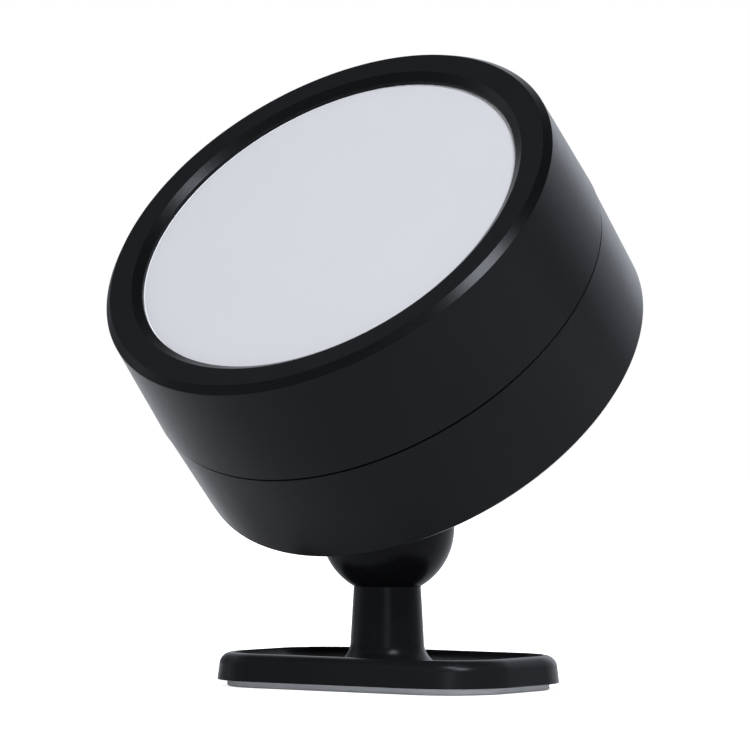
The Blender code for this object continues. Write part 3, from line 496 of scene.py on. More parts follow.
def circuit_board(name, mask, trace):
    """Coated board: tracks that just show through the mask, and plated specks."""
    finish = Finish(name)
    tracks = finish.node("ShaderNodeTexBrick", {"offset": 0.5},
                         {"Vector": finish.place, "Scale": 1 / TRACK_SIZE, "Mortar Size": TRACK_LINE,
                          "Color1": (1, 1, 1, 1), "Color2": (1, 1, 1, 1), "Mortar": (0, 0, 0, 1)},
                         "Fac")
    specks = finish.ramp(finish.noise(SPECK_SIZE, 0.0), [(0.70, 0.0), (0.74, 1.0)])
    base = finish.mix(tracks, (*mask, 1), (*trace, 1))
    base = finish.mix(0.5 * specks, base, SPECK_TONE)
    return finish.use(Base_Color=base, Roughness=0.35 + 0.1 * tracks, Specular_IOR_Level=0.5,
                      Normal=finish.bump(tracks, TRACK_DEPTH))


def crinkled_foil():
    """Aluminium pouch film: soft metal sheen with shallow wrinkles."""
    finish = Finish("pouch_film")
    folds = finish.noise(FOLD_SIZE, 4.0)
    base = finish.mix(folds, FILM_DEEP, FILM_PALE)
    return finish.use(Base_Color=base, Metallic=0.85, Roughness=0.32 + 0.16 * folds,
                      Normal=finish.bump(folds, FOLD_DEPTH))


def phosphor():
    """Yellow phosphor gel with fine grains in it."""
    finish = Finish("phosphor_gel")
    grains = finish.noise(GEL_GRAIN, 3.0)
    base = finish.mix(grains, GEL_DEEP, GEL_PALE)
    return finish.use(Base_Color=base, Roughness=0.22 + 0.1 * grains, Specular_IOR_Level=0.5,
                      Normal=finish.bump(grains, GEL_DEPTH))


def quarter_turn(count, first=0):
    """Angles of a quarter turn in even steps."""
    return [pi / 2 * step / count for step in range(first, count + 1)]


def round_corners(points, radii):
    """Replace the corners of an open outline by arcs of the given radii."""
    path = [Vector(points[0])]
    for before, corner, after, radius in zip(points, points[1:], points[2:], radii[1:]):
        corner = Vector(corner)
        to_before = (Vector(before) - corner).normalized()
        to_after = (Vector(after) - corner).normalized()
        bend = acos(max(-1.0, min(1.0, to_before.dot(to_after))))
        if radius <= 0 or bend > pi - STRAIGHT:
            path.append(corner)
            continue
        reach = radius / tan(bend / 2)
        inward = (to_before + to_after).normalized()
        centre = corner + inward * (radius / sin(bend / 2))
        first = corner + to_before * reach - centre
        last = corner + to_after * reach - centre
        start = atan2(first.y, first.x)
        sweep = atan2(last.y, last.x) - start
        sweep = (sweep + pi) % (2 * pi) - pi
        for step in range(ARC_STEPS + 1):
            angle = start + sweep * step / ARC_STEPS
            path.append(centre + radius * Vector((cos(angle), sin(angle))))
    path.append(Vector(points[-1]))
    return [(point.x, point.y) for point in path]


def revolved(profile, steps=SHELL_STEPS, into=None, place=(0, 0)):
    """Revolve an outline of (radius, height) points about an axis through a place.

    Points on the axis close into a pole. An outline that starts and ends off the axis is
    closed from its last point to its first.
    """
    shape = into or bmesh.new()
    rings = []
    for radius, height in profile:
        count = 1 if radius < POLE else steps
        ring = []
        for step in range(count):
            angle = 2 * pi * step / steps
            ring.append(shape.verts.new((place[0] + radius * cos(angle),
                                         place[1] + radius * sin(angle), height)))
        rings.append(ring)
    pairs = list(zip(rings, rings[1:]))
    if len(rings[0]) > 1 and len(rings[-1]) > 1:
        pairs.append((rings[-1], rings[0]))
    for lower, upper in pairs:
        for step in range(steps):
            after = (step + 1) % steps
            corners = [lower[step % len(lower)], lower[after % len(lower)],
                       upper[after % len(upper)], upper[step % len(upper)]]
            unique = list(dict.fromkeys(corners))
            if len(unique) > 2:
                shape.faces.new(unique)
    return shape


def rod(radius, low, high, steps=HOLE_STEPS, into=None, place=(0, 0)):
    return revolved([(0, low), (radius, low), (radius, high), (0, high)], steps, into, place)


def stacked(sections, into=None, place=(0, 0)):
    """Skin a pile of (outline, height) sections and close both ends."""
    shape = into or bmesh.new()
    rings = []
    for outline, height in sections:
        rings.append([shape.verts.new((x + place[0], y + place[1], height)) for x, y in outline])
    for lower, upper in zip(rings, rings[1:]):
        for i, _ in enumerate(lower):
            j = (i + 1) % len(lower)
            shape.faces.new((lower[i], lower[j], upper[j], upper[i]))
    shape.faces.new(list(reversed(rings[0])))
    shape.faces.new(rings[-1])
    return shape


def slot_outline(length, width):
    """Outline of a slot with half-round ends."""
    points = []
    for side in (1, -1):
        centre = side * (length - width) / 2
        for step in range(CORNER_STEPS + 1):
            angle = side * pi / 2 * (2 * step / CORNER_STEPS - 1)
            if side < 0:
                angle = pi - angle
            points.append((centre + width / 2 * cos(angle), width / 2 * sin(angle)))
    return points


def box(low, high, edge=0.0, segments=3, into=None):
    """A block between two corners, with its edges rounded if an edge size is given."""
    shape = bmesh.new()
    bmesh.ops.create_cube(shape, size=1)
    low, high = Vector(low), Vector(high)
    bmesh.ops.scale(shape, vec=high - low, verts=shape.verts)
    bmesh.ops.translate(shape, vec=(low + high) / 2, verts=shape.verts)
    if edge:
        bmesh.ops.bevel(shape, geom=shape.edges[:], offset=edge, segments=segments, profile=0.5,
                        affect="EDGES")
    if into is None:
        return shape
    carrier = bpy.data.meshes.new("carrier")
    shape.to_mesh(carrier)
    shape.free()
    into.from_mesh(carrier)
    bpy.data.meshes.remove(carrier)
    return into


def raw_object(name, shape, matrix=WORLD):
    """A plain object from a bmesh, with its place put into its mesh."""
    bmesh.ops.recalc_face_normals(shape, faces=shape.faces)
    mesh = bpy.data.meshes.new(name)
    shape.to_mesh(mesh)
    shape.free()
    mesh.transform(matrix)
    thing = bpy.data.objects.new(name, mesh)
    bpy.context.scene.collection.objects.link(thing)
    return thing


def settle(thing):
    """Apply an object's modifiers, and keep the result as its plain mesh."""
    bpy.context.view_layer.update()
    graph = bpy.context.evaluated_depsgraph_get()
    solid = bpy.data.meshes.new_from_object(thing.evaluated_get(graph), depsgraph=graph)
    thing.modifiers.clear()
    thing.data = solid
    return thing


def carve(thing, operation, shape, matrix=WORLD):
    """Cut or join a thing with a bmesh and throw the tool away."""
    tool = raw_object("tool", shape, matrix)
    modifier = thing.modifiers.new(operation, "BOOLEAN")
    modifier.operation = operation
    modifier.solver = "EXACT"
    modifier.object = tool
    settle(thing)
    bpy.data.objects.remove(tool)
    return thing


def close_ends(thing):
    """Close the open loops that a sweep leaves at its first and last point."""
    shape = bmesh.new()
    shape.from_mesh(thing.data)
    bmesh.ops.holes_fill(shape, edges=[edge for edge in shape.edges if edge.is_boundary])
    bmesh.ops.recalc_face_normals(shape, faces=shape.faces)
    shape.to_mesh(thing.data)
    shape.free()
    return thing


def dress(thing, mat, body, slot, *nodes):
    """Shade a finished piece and hand it to the frame."""
    mesh = thing.data
    mesh.materials.clear()
    mesh.materials.append(mat)
    mesh.shade_smooth()
    mesh.set_sharp_from_angle(angle=SHARP_ANGLE)
    weighted = thing.modifiers.new("even_normals", "WEIGHTED_NORMAL")
    weighted.keep_sharp = True
    settle(thing)
    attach(thing, body)
    if nodes:
        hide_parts(*nodes)
    return thing


def repaint(mat, *nodes):
    """Give CAD nodes that keep their own mesh a better material."""
    for node in nodes:
        for material_slot in NODES[node].material_slots:
            material_slot.material = mat


def copies(layout, name, shape, matrix, mat, values):
    """Run a layout with a template piece, and throw the template away."""
    template = shape if isinstance(shape, bpy.types.Object) else raw_object("template", shape)
    thing = layout.grow(name, matrix, {**values, "Piece": template, "Finish": mat})
    bpy.data.objects.remove(template)
    return thing


def ring_layout():
    """Copies of one piece, evenly spaced on a circle and all turned alike."""
    inputs = {"Count": "Int", "Radius": "Float", "First Angle": "Float", "Height": "Float",
              "Piece": "Object"}
    layout = Layout("ring_of_pieces", inputs)
    index = layout.node("GeometryNodeInputIndex", {}, [])
    angle = layout.input("First Angle") + index * (2 * pi / layout.input("Count"))
    radius = layout.input("Radius")
    spots = layout.place(radius * angle.maths("COSINE"), radius * angle.maths("SINE"),
                         layout.input("Height"))
    line = layout.node("GeometryNodeMeshLine", {}, {"Count": layout.input("Count")})
    ring = layout.node("GeometryNodeSetPosition", {}, {"Geometry": line, "Position": spots})
    piece = layout.node("GeometryNodeObjectInfo", {}, {"Object": layout.input("Piece")}, "Geometry")
    return layout.end(layout.node("GeometryNodeInstanceOnPoints", {},
                                  {"Points": ring, "Instance": piece}))


def row_layout():
    """Two rows of one piece, the second row turned to face away from the first."""
    inputs = {"Count": "Int", "Pitch": "Float", "Gap": "Float", "Height": "Float",
              "Piece": "Object"}
    layout = Layout("rows_of_pieces", inputs)
    count = layout.input("Count")
    index = layout.node("GeometryNodeInputIndex", {}, [])
    row = (index / count + ROW_NUDGE).maths("FLOOR")
    column = index - row * count - (count - 1) * 0.5
    side = row * 2 - 1
    spots = layout.place(column * layout.input("Pitch"), side * layout.input("Gap") * 0.5,
                         layout.input("Height"))
    line = layout.node("GeometryNodeMeshLine", {}, {"Count": count * 2})
    rows = layout.node("GeometryNodeSetPosition", {}, {"Geometry": line, "Position": spots})
    piece = layout.node("GeometryNodeObjectInfo", {}, {"Object": layout.input("Piece")}, "Geometry")
    turn = layout.place(0.0, 0.0, row * pi)
    return layout.end(layout.node("GeometryNodeInstanceOnPoints", {},
                                  {"Points": rows, "Instance": piece, "Rotation": turn}))


def sweep_layout():
    """The start mesh is a profile. It is swept round a rectangle with round corners.

    In the profile x points out of the rectangle and y points down.
    """
    inputs = {"Length": "Float", "Width": "Float", "Corner": "Float", "Corner Steps": "Int"}
    layout = Layout("sweep_round_an_oblong", inputs)
    plain = layout.node("GeometryNodeCurvePrimitiveQuadrilateral", {},
                        {"Width": layout.input("Length"), "Height": layout.input("Width")})
    path = layout.node("GeometryNodeFilletCurve", {"mode": "POLY"},
                       {"Curve": plain, "Radius": layout.input("Corner"),
                        "Count": layout.input("Corner Steps")})
    profile = layout.node("GeometryNodeMeshToCurve", {}, {"Mesh": layout.input("Start")})
    return layout.end(layout.node("GeometryNodeCurveToMesh", {},
                                  {"Curve": path, "Profile Curve": profile}))


def profile_mesh(points):
    """A chain of edges through (out, height) points, as the sweep wants them."""
    shape = bmesh.new()
    chain = [shape.verts.new((out, -height, 0)) for out, height in points]
    for first, second in zip(chain, chain[1:]):
        shape.edges.new((first, second))
    return shape


def mouth_cutter(radius, depth):
    """Outline of a round cutter whose mouth, at height 0, is a little chamfered."""
    return [(0, -CUT_OVERRUN), (radius + MOUTH_CHAMFER + CUT_OVERRUN, -CUT_OVERRUN),
            (radius, MOUTH_CHAMFER), (radius, depth), (0, depth)]


def ring_places(count, radius, first=pi / 2):
    for i in range(count):
        angle = first + 2 * pi * i / count
        yield radius * cos(angle), radius * sin(angle)


def drum_beside(node, x=0.0):
    """The drum's frame, moved up the slope to a node's middle, and across by x."""
    return DRUM @ Matrix.Translation((x, middle(node, DRUM, 1), 0))


def distance_from_axis(node):
    return hypot(middle(node, DRUM, 0), middle(node, DRUM, 1))


def mark(thing, name, passes):
    """Mark the faces whose middle and normal, in the drum's own frame, pass a test."""
    inward = DRUM.inverted()
    marks = thing.data.attributes.new(name, "FLOAT", "FACE")
    for face in thing.data.polygons:
        place = inward @ face.center
        marks.data[face.index].value = float(passes(place, inward.to_3x3() @ face.normal))
    return thing


def make_front_housing(mat):
    """Front half of the drum: drafted wall, outer chamfer, bezel, inner slope, and a tongue
    behind the seam."""
    low = SEAM_W
    lip_low = DIFFUSER_W - DIFFUSER_SINK + TOUCH
    inner = HEAD_RADIUS - FRONT_WALL
    edge = HEAD_RADIUS - FRONT_DRAFT
    pocket = DIFFUSER_RADIUS + POCKET_GAP
    skirt = DIFFUSER_BACK - POCKET_SKIRT
    tongue = inner + SEAM_TONGUE_WALL
    points = [(inner, low - SEAM_TONGUE_REACH), (tongue, low - SEAM_TONGUE_REACH), (tongue, low),
              (HEAD_RADIUS, low), (edge, HEAD_DEPTH - CHAMFER_BACK),
              (edge - CHAMFER_IN, HEAD_DEPTH), (LIGHT_RADIUS + BEZEL_SLOPE_IN, HEAD_DEPTH - BEZEL_DISH),
              (LIGHT_RADIUS, HEAD_DEPTH - BEZEL_SLOPE_BACK), (LIGHT_RADIUS, lip_low),
              (pocket, lip_low), (pocket, skirt), (inner, skirt)]
    radii = [0, 0, 0, SEAM_BREAK, EDGE_BREAK, EDGE_BREAK, EDGE_BREAK, EDGE_BREAK, FINE_BREAK,
             0, 0, 0]
    housing = raw_object("bezel_and_front_wall", revolved(round_corners(points, radii)), DRUM)
    mark(housing, "bevel", lambda place, normal: BEVEL_LEAST < normal.z < BEVEL_MOST)
    dress(housing, mat, "head", "black_shell", "front_housing")


def make_rear_cover(mat):
    """Rear half: wall, chamfered rear edge, groove for the tongue, bosses, and every opening."""
    top = SEAM_W - SEAM
    inner = REAR_RADIUS - REAR_WALL
    edge = REAR_RADIUS - REAR_DRAFT
    groove = HEAD_RADIUS - FRONT_WALL + SEAM_TONGUE_WALL + SEAM_TONGUE_GAP
    shelf = SEAM_W - SEAM_TONGUE_REACH - SEAM_TONGUE_GAP
    points = [(0, 0), (edge - REAR_CHAMFER, 0), (edge, REAR_CHAMFER), (REAR_RADIUS, top),
              (groove, top), (groove, shelf), (inner, shelf), (inner, REAR_FLOOR), (0, REAR_FLOOR)]
    radii = [0, EDGE_BREAK, EDGE_BREAK, SEAM_BREAK, 0, 0, 0, 0, 0]
    cover = raw_object("rear_wall_and_floor", revolved(round_corners(points, radii)), DRUM)

    screw_ring = distance_from_axis("cover_screw_1")
    board_back = span("main_board", DRUM, 2)[0]
    board_screws = [(middle(node, DRUM, 0), middle(node, DRUM, 1))
                    for node in ("board_screw_1", "board_screw_2")]
    through = REAR_FLOOR + CUT_OVERRUN
    half_floor = REAR_FLOOR / 2
    bosses = bmesh.new()
    holes = bmesh.new()
    pilots = bmesh.new()
    for place in ring_places(3, screw_ring):
        rod(SCREW_BOSS_RADIUS, half_floor, top - TOUCH, into=bosses, place=place)
        revolved(mouth_cutter(SCREW_WELL_RADIUS, SCREW_WELL_DEPTH), HOLE_STEPS, holes, place)
        rod(COVER_SCREW[0] + PILOT_GAP, SCREW_WELL_DEPTH - CUT_OVERRUN, top + CUT_OVERRUN,
            into=pilots, place=place)
    for place in board_screws:
        rod(BOARD_BOSS_RADIUS, half_floor, board_back - BOARD_BOSS_GAP, into=bosses, place=place)
        rod(SMALL_SCREW[0] + PILOT_GAP, REAR_FLOOR, board_back + CUT_OVERRUN, into=pilots, place=place)
    revolved(mouth_cutter(BUTTON_RADIUS + BUTTON_GAP, through), ROUND_STEPS, holes,
             (0, middle("power_button", DRUM, 1)))
    socket_v = middle("charging_socket", DRUM, 1)
    length, width = socket_size()
    sections = [(slot_outline(length + 2 * (MOUTH_CHAMFER + SOCKET_GAP + CUT_OVERRUN),
                              width + 2 * (MOUTH_CHAMFER + SOCKET_GAP + CUT_OVERRUN)), -CUT_OVERRUN),
                (slot_outline(length + 2 * SOCKET_GAP, width + 2 * SOCKET_GAP), MOUTH_CHAMFER),
                (slot_outline(length + 2 * SOCKET_GAP, width + 2 * SOCKET_GAP), through)]
    stacked(sections, holes, (0, socket_v))
    carve(cover, "UNION", bosses, DRUM)
    carve(cover, "DIFFERENCE", holes, DRUM)
    carve(cover, "DIFFERENCE", pilots, DRUM)
    seat_hole = mouth_cutter(SEAT_RADIUS + SEAT_GAP, through)
    carve(cover, "DIFFERENCE", revolved(seat_hole, ROUND_STEPS), SEAT)
    dress(cover, mat, "head", "black_shell", "rear_cover")


def socket_size():
    low, high = node_box("charging_socket", DRUM)
    return high[0] - low[0], high[1] - low[1]


def make_diffuser(mat):
    """Frosted disc, slightly eased at its edge."""
    front = DIFFUSER_W - DIFFUSER_SINK
    # Inner edge of the band that gets a painted highlight line
    line = LIGHT_RADIUS - PAINTED_GLINT_BAND
    points = [(0, front), (line, front), (DIFFUSER_RADIUS, front),
              (DIFFUSER_RADIUS, DIFFUSER_BACK), (0, DIFFUSER_BACK)]
    outline = round_corners(points, [0, 0, DIFFUSER_EDGE, DIFFUSER_EDGE, 0])
    window = raw_object("frosted_window", revolved(outline), DRUM)
    # Marks that band for the painted highlight
    mark(window, "edge_line", lambda place, normal: hypot(place.x, place.y) > line)
    dress(window, mat, "head", "diffuser", "diffuser")


def make_seat(mat, metal):
    """Insert with a dish for the ball, the magnet behind it and the magnet's cap."""
    dish = BALL_RADIUS + TOUCH
    rim = sqrt(dish ** 2 - REAR_W ** 2)
    outline = []
    for step in range(4 * ARC_STEPS + 1):
        radius = rim * step / (4 * ARC_STEPS)
        outline.append((radius, sqrt(dish ** 2 - radius ** 2) - REAR_W))
    pocket_low = dish - REAR_W + SEAT_SKIN
    points = [(rim, 0), (SEAT_RADIUS, 0), (SEAT_RADIUS, SEAT_LEDGE), (SEAT_FLANGE_RADIUS, SEAT_LEDGE),
              (SEAT_FLANGE_RADIUS, SEAT_TOP), (SEAT_BORE, SEAT_TOP), (SEAT_BORE, pocket_low),
              (0, pocket_low)]
    radii = [0, MOUTH_CHAMFER, 0, FINE_BREAK, FINE_BREAK, FINE_BREAK, 0, 0]
    outline += round_corners(points, radii)[1:]
    dress(raw_object("dished_seat", revolved(outline, ROUND_STEPS), SEAT), mat, "seat",
          "black_shell", "ball_seat")
    make_disc("magnet_disc", "seat_magnet", SEAT, metal, "seat", "magnet")
    make_disc("magnet_cover", "magnet_cap", SEAT, mat, "seat", "black_shell")


def make_disc(name, node, matrix, mat, body, slot):
    """A plain turned disc with eased edges, the size of its node."""
    radius = span(node, matrix, 0)[1]
    low, high = span(node, matrix, 2)
    outline = round_corners([(0, low), (radius, low), (radius, high), (0, high)],
                            [0, EDGE_BREAK, EDGE_BREAK, 0])
    dress(raw_object(name, revolved(outline, ROUND_STEPS), matrix), mat, body, slot, node)


def make_ball(mat):
    """Coated steel ball, turned from pole to pole so that its points keep their order."""
    rings = ROUND_STEPS // 2
    turns = [pi * step / rings for step in range(rings + 1)]
    shape = revolved([(BALL_RADIUS * sin(turn), -BALL_RADIUS * cos(turn)) for turn in turns],
                     ROUND_STEPS)
    dress(raw_object("coated_ball", shape, BALL), mat, "ball", "black_ball", "ball")


def make_post(mat):
    """Turned post that flares into the tray, closes on the ball and is bored for its screw."""
    flare_top = TRAY_FLOOR + POST_FLARE
    bore = POST_SCREW[0] + TOUCH
    profile = [(bore, TRAY_FLOOR + TOUCH / 2)]
    for turn in quarter_turn(3 * ARC_STEPS, 1):
        profile.append((POST_LOW + POST_FLARE * (1 - sin(turn)), flare_top - POST_FLARE * cos(turn)))
    cup = BALL_RADIUS + TOUCH
    for step in range(ARC_STEPS + 1):
        radius = POST_TOP * (1 - step / ARC_STEPS)
        profile.append((radius, BALL_CENTRE.z - sqrt(cup ** 2 - radius ** 2)))
    bore_top = span("post_screw", WORLD, 2)[1] + TOUCH
    profile += [(0, bore_top), (bore, bore_top)]
    dress(raw_object("flared_post", revolved(profile, ROUND_STEPS)), mat, "post", "black_shell",
          "post")


def make_plate(layout, mat):
    """Oblong plate: drafted wall, a rounded rim and a hollow tray that flattens inwards."""
    crest = PLATE_TOP + RIM_CROWN
    points = [(-PLATE_FOOT, PLATE_LOW), (0, PLATE_LOW + PLATE_FOOT)]
    for turn in quarter_turn(3 * ARC_STEPS):
        points.append((-PLATE_DRAFT - PLATE_FILLET * (1 - cos(turn)),
                       crest - PLATE_FILLET * (1 - sin(turn))))
    for turn in quarter_turn(3 * ARC_STEPS):
        points.append((-PLATE_DRAFT - PLATE_FILLET - RIM_WIDTH - TRAY_SLOPE * (1 - cos(turn)),
                       crest - (crest - TRAY_FLOOR) * sin(turn)))
    sizes = {"Length": PLATE_LENGTH, "Width": PLATE_WIDTH, "Corner": PLATE_CORNER,
             "Corner Steps": CORNER_STEPS, "Finish": mat}
    plate = close_ends(layout.grow("tray_plate", WORLD, sizes, profile_mesh(points)))
    seat = span("post_screw", WORLD, 2)[0] + POST_SCREW[1] + PILOT_GAP
    head = span("post_screw", WORLD, 0)[1] + PILOT_GAP
    holes = rod(head, PLATE_LOW - CUT_OVERRUN, seat)
    carve(plate, "DIFFERENCE", holes)
    holes = rod(POST_SCREW[0] + PILOT_GAP, PLATE_LOW, PLATE_TOP)
    carve(plate, "DIFFERENCE", holes)
    dress(plate, mat, "base", "black_shell", "base_plate")


def make_pad(layout, mat):
    """Adhesive pad with slightly eased edges."""
    inset = (PLATE_LENGTH - PAD_LENGTH) / 2
    points = round_corners([(-PAD_EDGE * 2, 0), (0, 0), (0, PAD_TOP - TOUCH)], [0, PAD_EDGE, 0])
    sizes = {"Length": PLATE_LENGTH - 2 * inset, "Width": PLATE_WIDTH - 2 * inset,
             "Corner": PLATE_CORNER - inset, "Corner Steps": CORNER_STEPS, "Finish": mat}
    pad = close_ends(layout.grow("foam_pad", WORLD, sizes, profile_mesh(points)))
    dress(pad, mat, "base", "pad", "adhesive_pad")


def make_button(mat):
    """Round button: a shallow dish for the fingertip, a flange and a stem behind it."""
    centre = drum_beside("power_button")
    face, stem_top = span("power_button", centre, 2)
    flange_radius = span("power_button", centre, 0)[1]
    flange_low = REAR_FLOOR + BOARD_BOSS_GAP
    flange_top = flange_low + BUTTON_FLANGE
    dish_radius = BUTTON_RADIUS - BUTTON_ROUND * 2
    outline = []
    for step in range(2 * ARC_STEPS + 1):
        share = step / (2 * ARC_STEPS)
        outline.append((dish_radius * share, face + BUTTON_DISH * (1 - share ** 2)))
    points = [(dish_radius, face), (BUTTON_RADIUS, face), (BUTTON_RADIUS, flange_low),
              (flange_radius, flange_low), (flange_radius, flange_top),
              (BUTTON_STEM_RADIUS, flange_top), (BUTTON_STEM_RADIUS, stem_top), (0, stem_top)]
    radii = [0, BUTTON_ROUND, 0, FINE_BREAK, FINE_BREAK, 0, FINE_BREAK, 0]
    outline += round_corners(points, radii)[1:]
    dress(raw_object("dished_button", revolved(outline, ROUND_STEPS), centre), mat, "button",
          "black_shell", "power_button")


def make_socket(layout, steel, dark, gold):
    """Charging socket: a thin steel shell, a tongue in its mouth and two rows of contacts."""
    centre = drum_beside("charging_socket")
    low, high = span("charging_socket", centre, 2)
    length, width = socket_size()
    mouth = (length - 2 * SOCKET_WALL, width - 2 * SOCKET_WALL)
    sections = [(slot_outline(length - 2 * FINE_BREAK, width - 2 * FINE_BREAK), low),
                (slot_outline(length, width), low + FINE_BREAK), (slot_outline(length, width), high)]
    shell = raw_object("socket_shell", stacked(sections), centre)
    lead_in = FINE_BREAK * 2
    sections = [(slot_outline(mouth[0] + 2 * lead_in, mouth[1] + 2 * lead_in), low - lead_in),
                (slot_outline(*mouth), low + lead_in), (slot_outline(*mouth), low + SOCKET_DEPTH)]
    carve(shell, "DIFFERENCE", stacked(sections), centre)
    dress(shell, steel, "head", "steel", "charging_socket")
    tongue_low = low + SOCKET_TONGUE_SUNK
    half = Vector((SOCKET_TONGUE_WIDTH / 2, SOCKET_TONGUE_HEIGHT / 2, 0))
    tongue = box(Vector((0, 0, tongue_low)) - half, Vector((0, 0, low + SOCKET_DEPTH)) + half,
                 FINE_BREAK)
    dress(raw_object("socket_tongue", tongue, centre), dark, "head", "black_part")
    contact = box((-CONTACT_WIDTH / 2, 0, 0), (CONTACT_WIDTH / 2, CONTACT_RISE, CONTACT_LENGTH))
    values = {"Count": CONTACT_COUNT, "Pitch": CONTACT_PITCH, "Gap": -SOCKET_TONGUE_HEIGHT,
              "Height": tongue_low + CONTACT_SUNK}
    contacts = copies(layout, "socket_contacts", contact, centre, gold, values)
    dress(contacts, gold, "head", "steel")


def threaded_screw(head_radius, length, sizes, head_up):
    """A cross-recess screw that seats at height 0, with a real thread on its shank."""
    shank, head = sizes
    crown = head * CROWN_SHARE
    profile = [(0, head)]
    for turn in quarter_turn(2 * ARC_STEPS, 1):
        profile.append((head_radius * sin(turn), head - crown + crown * cos(turn)))
    profile += [(head_radius, 0), (shank, 0), (shank, -THREAD_START)]
    quarter = THREAD_PITCH / 4
    thread_end = length - shank - THREAD_START
    for step in range(1, int(thread_end / quarter) + 1):
        profile.append((shank, -THREAD_START - step * quarter))
    profile.append((0, -length))
    shape = revolved(profile, SCREW_STEPS)
    for vertex in shape.verts:
        reach = hypot(vertex.co.x, vertex.co.y)
        if vertex.co.z < -THREAD_START - quarter / 2 and reach > POLE:
            turn = atan2(vertex.co.y, vertex.co.x) / (2 * pi)
            wave = abs(2 * ((vertex.co.z / THREAD_PITCH + turn) % 1) - 1)
            share = 1 - THREAD_DEPTH * wave / shank
            vertex.co.x *= share
            vertex.co.y *= share
    screw = raw_object("template", shape)
    deep = head - head * RECESS_DEPTH_SHARE
    thin = head_radius * RECESS_WIDTH_SHARE / 2
    wide = head_radius * RECESS_SPAN_SHARE / 2
    carve(screw, "DIFFERENCE", box((-wide, -thin, deep), (wide, thin, head + CUT_OVERRUN)))
    carve(screw, "DIFFERENCE", box((-thin, -wide, deep), (thin, wide, head + CUT_OVERRUN)))
    if not head_up:
        screw.data.transform(Matrix.Rotation(pi, 4, "X"))
    return screw


def make_screws(layout, steel):
    """Every screw: three behind the cover, three in the lamp board, two in the main board."""
    for name, nodes, sizes, first, head_up in (
            ("cover_fixings", ("cover_screw_1", "cover_screw_2", "cover_screw_3"), COVER_SCREW,
             pi / 2, False),
            ("lamp_board_fixings", ("led_screw_1", "led_screw_2", "led_screw_3"), SMALL_SCREW,
             -pi / 2, True)):
        low, high = span(nodes[0], DRUM, 2)
        seat = high - sizes[1] if head_up else low + sizes[1]
        screw = threaded_screw(node_radius(nodes[0], DRUM), high - low - sizes[1], sizes, head_up)
        values = {"Count": len(nodes), "Radius": distance_from_axis(nodes[0]), "First Angle": first,
                  "Height": seat}
        dress(copies(layout, name, screw, DRUM, steel, values), steel, "head", "steel", *nodes)
    low, high = span("board_screw_1", DRUM, 2)
    centre = drum_beside("board_screw_1")
    screw = threaded_screw(node_radius("board_screw_1", DRUM), high - low - SMALL_SCREW[1],
                           SMALL_SCREW, True)
    values = {"Count": 2, "Radius": middle("board_screw_2", DRUM, 0), "First Angle": 0.0,
              "Height": high - SMALL_SCREW[1]}
    dress(copies(layout, "main_board_fixings", screw, centre, steel, values), steel, "head",
          "steel", "board_screw_1", "board_screw_2")
    low, high = span("post_screw", WORLD, 2)
    screw = threaded_screw(node_radius("post_screw", WORLD), high - low - POST_SCREW[1],
                           POST_SCREW, False)
    screw.name = "post_fixing"
    screw.data.transform(Matrix.Translation((0, 0, low + POST_SCREW[1])))
    dress(screw, steel, "base", "steel", "post_screw")


def node_radius(node, matrix):
    low, high = span(node, matrix, 0)
    return (high - low) / 2


def make_lamp_chips(layout, ceramic, gel):
    """Twelve lamp chips: a moulded cup each, filled with a domed gel."""
    (low_x, low_v, low), (high_x, high_v, high) = node_box("led_1", DRUM)
    half_x = (high_x - low_x) / 2
    half_v = (high_v - low_v) / 2
    rise = high - low
    lip = CHIP_CUP_RADIUS + CHIP_CUP_SLOPE
    for name, shape_of, mat in (("lamp_chip_cups", "cup", ceramic), ("lamp_chip_gel", "gel", gel)):
        rings = []
        for count, node in CHIP_RINGS:
            if shape_of == "cup":
                template = raw_object("template", box((-half_x, -half_v, 0), (half_x, half_v, rise),
                                                      FINE_BREAK))
                cutter = [(0, rise - CHIP_CUP_DEPTH), (CHIP_CUP_RADIUS, rise - CHIP_CUP_DEPTH),
                          (lip, rise), (lip, rise + CUT_OVERRUN), (0, rise + CUT_OVERRUN)]
                carve(template, "DIFFERENCE", revolved(cutter, SCREW_STEPS))
            else:
                template = raw_object("template", gel_drop(rise))
            values = {"Count": count, "Radius": distance_from_axis(node), "First Angle": pi / 2,
                      "Height": low}
            rings.append(copies(layout, name, template, DRUM, mat, values))
        piece = join(rings)
        chips = sum(count for count, _ in CHIP_RINGS)
        nodes = [f"led_{i + 1}" for i in range(chips)] if shape_of == "cup" else []
        dress(piece, mat, "head", "lamp_chip", *nodes)


def gel_drop(rise):
    """A shallow dome that fills a chip's cup."""
    low = rise - CHIP_CUP_DEPTH + TOUCH
    radius = CHIP_CUP_RADIUS - TOUCH
    profile = [(0, low), (radius, low)]
    for step in range(ARC_STEPS + 1):
        share = step / ARC_STEPS
        profile.append((radius * cos(share * pi / 2),
                        rise - CHIP_CUP_DEPTH / 2 + LENS_RISE * sin(share * pi / 2)))
    return revolved(profile, SCREW_STEPS)


def join(things):
    """Put several plain objects into the first one's mesh."""
    shape = bmesh.new()
    for thing in things:
        shape.from_mesh(thing.data)
    first = things[0]
    shape.to_mesh(first.data)
    shape.free()
    for thing in things[1:]:
        bpy.data.objects.remove(thing)
    return first


def make_block(name, node, mat, slot, edge):
    """A block with rounded edges, the size of its node."""
    dress(raw_object(name, box(*node_box(node, DRUM), edge), DRUM), mat, "head", slot, node)


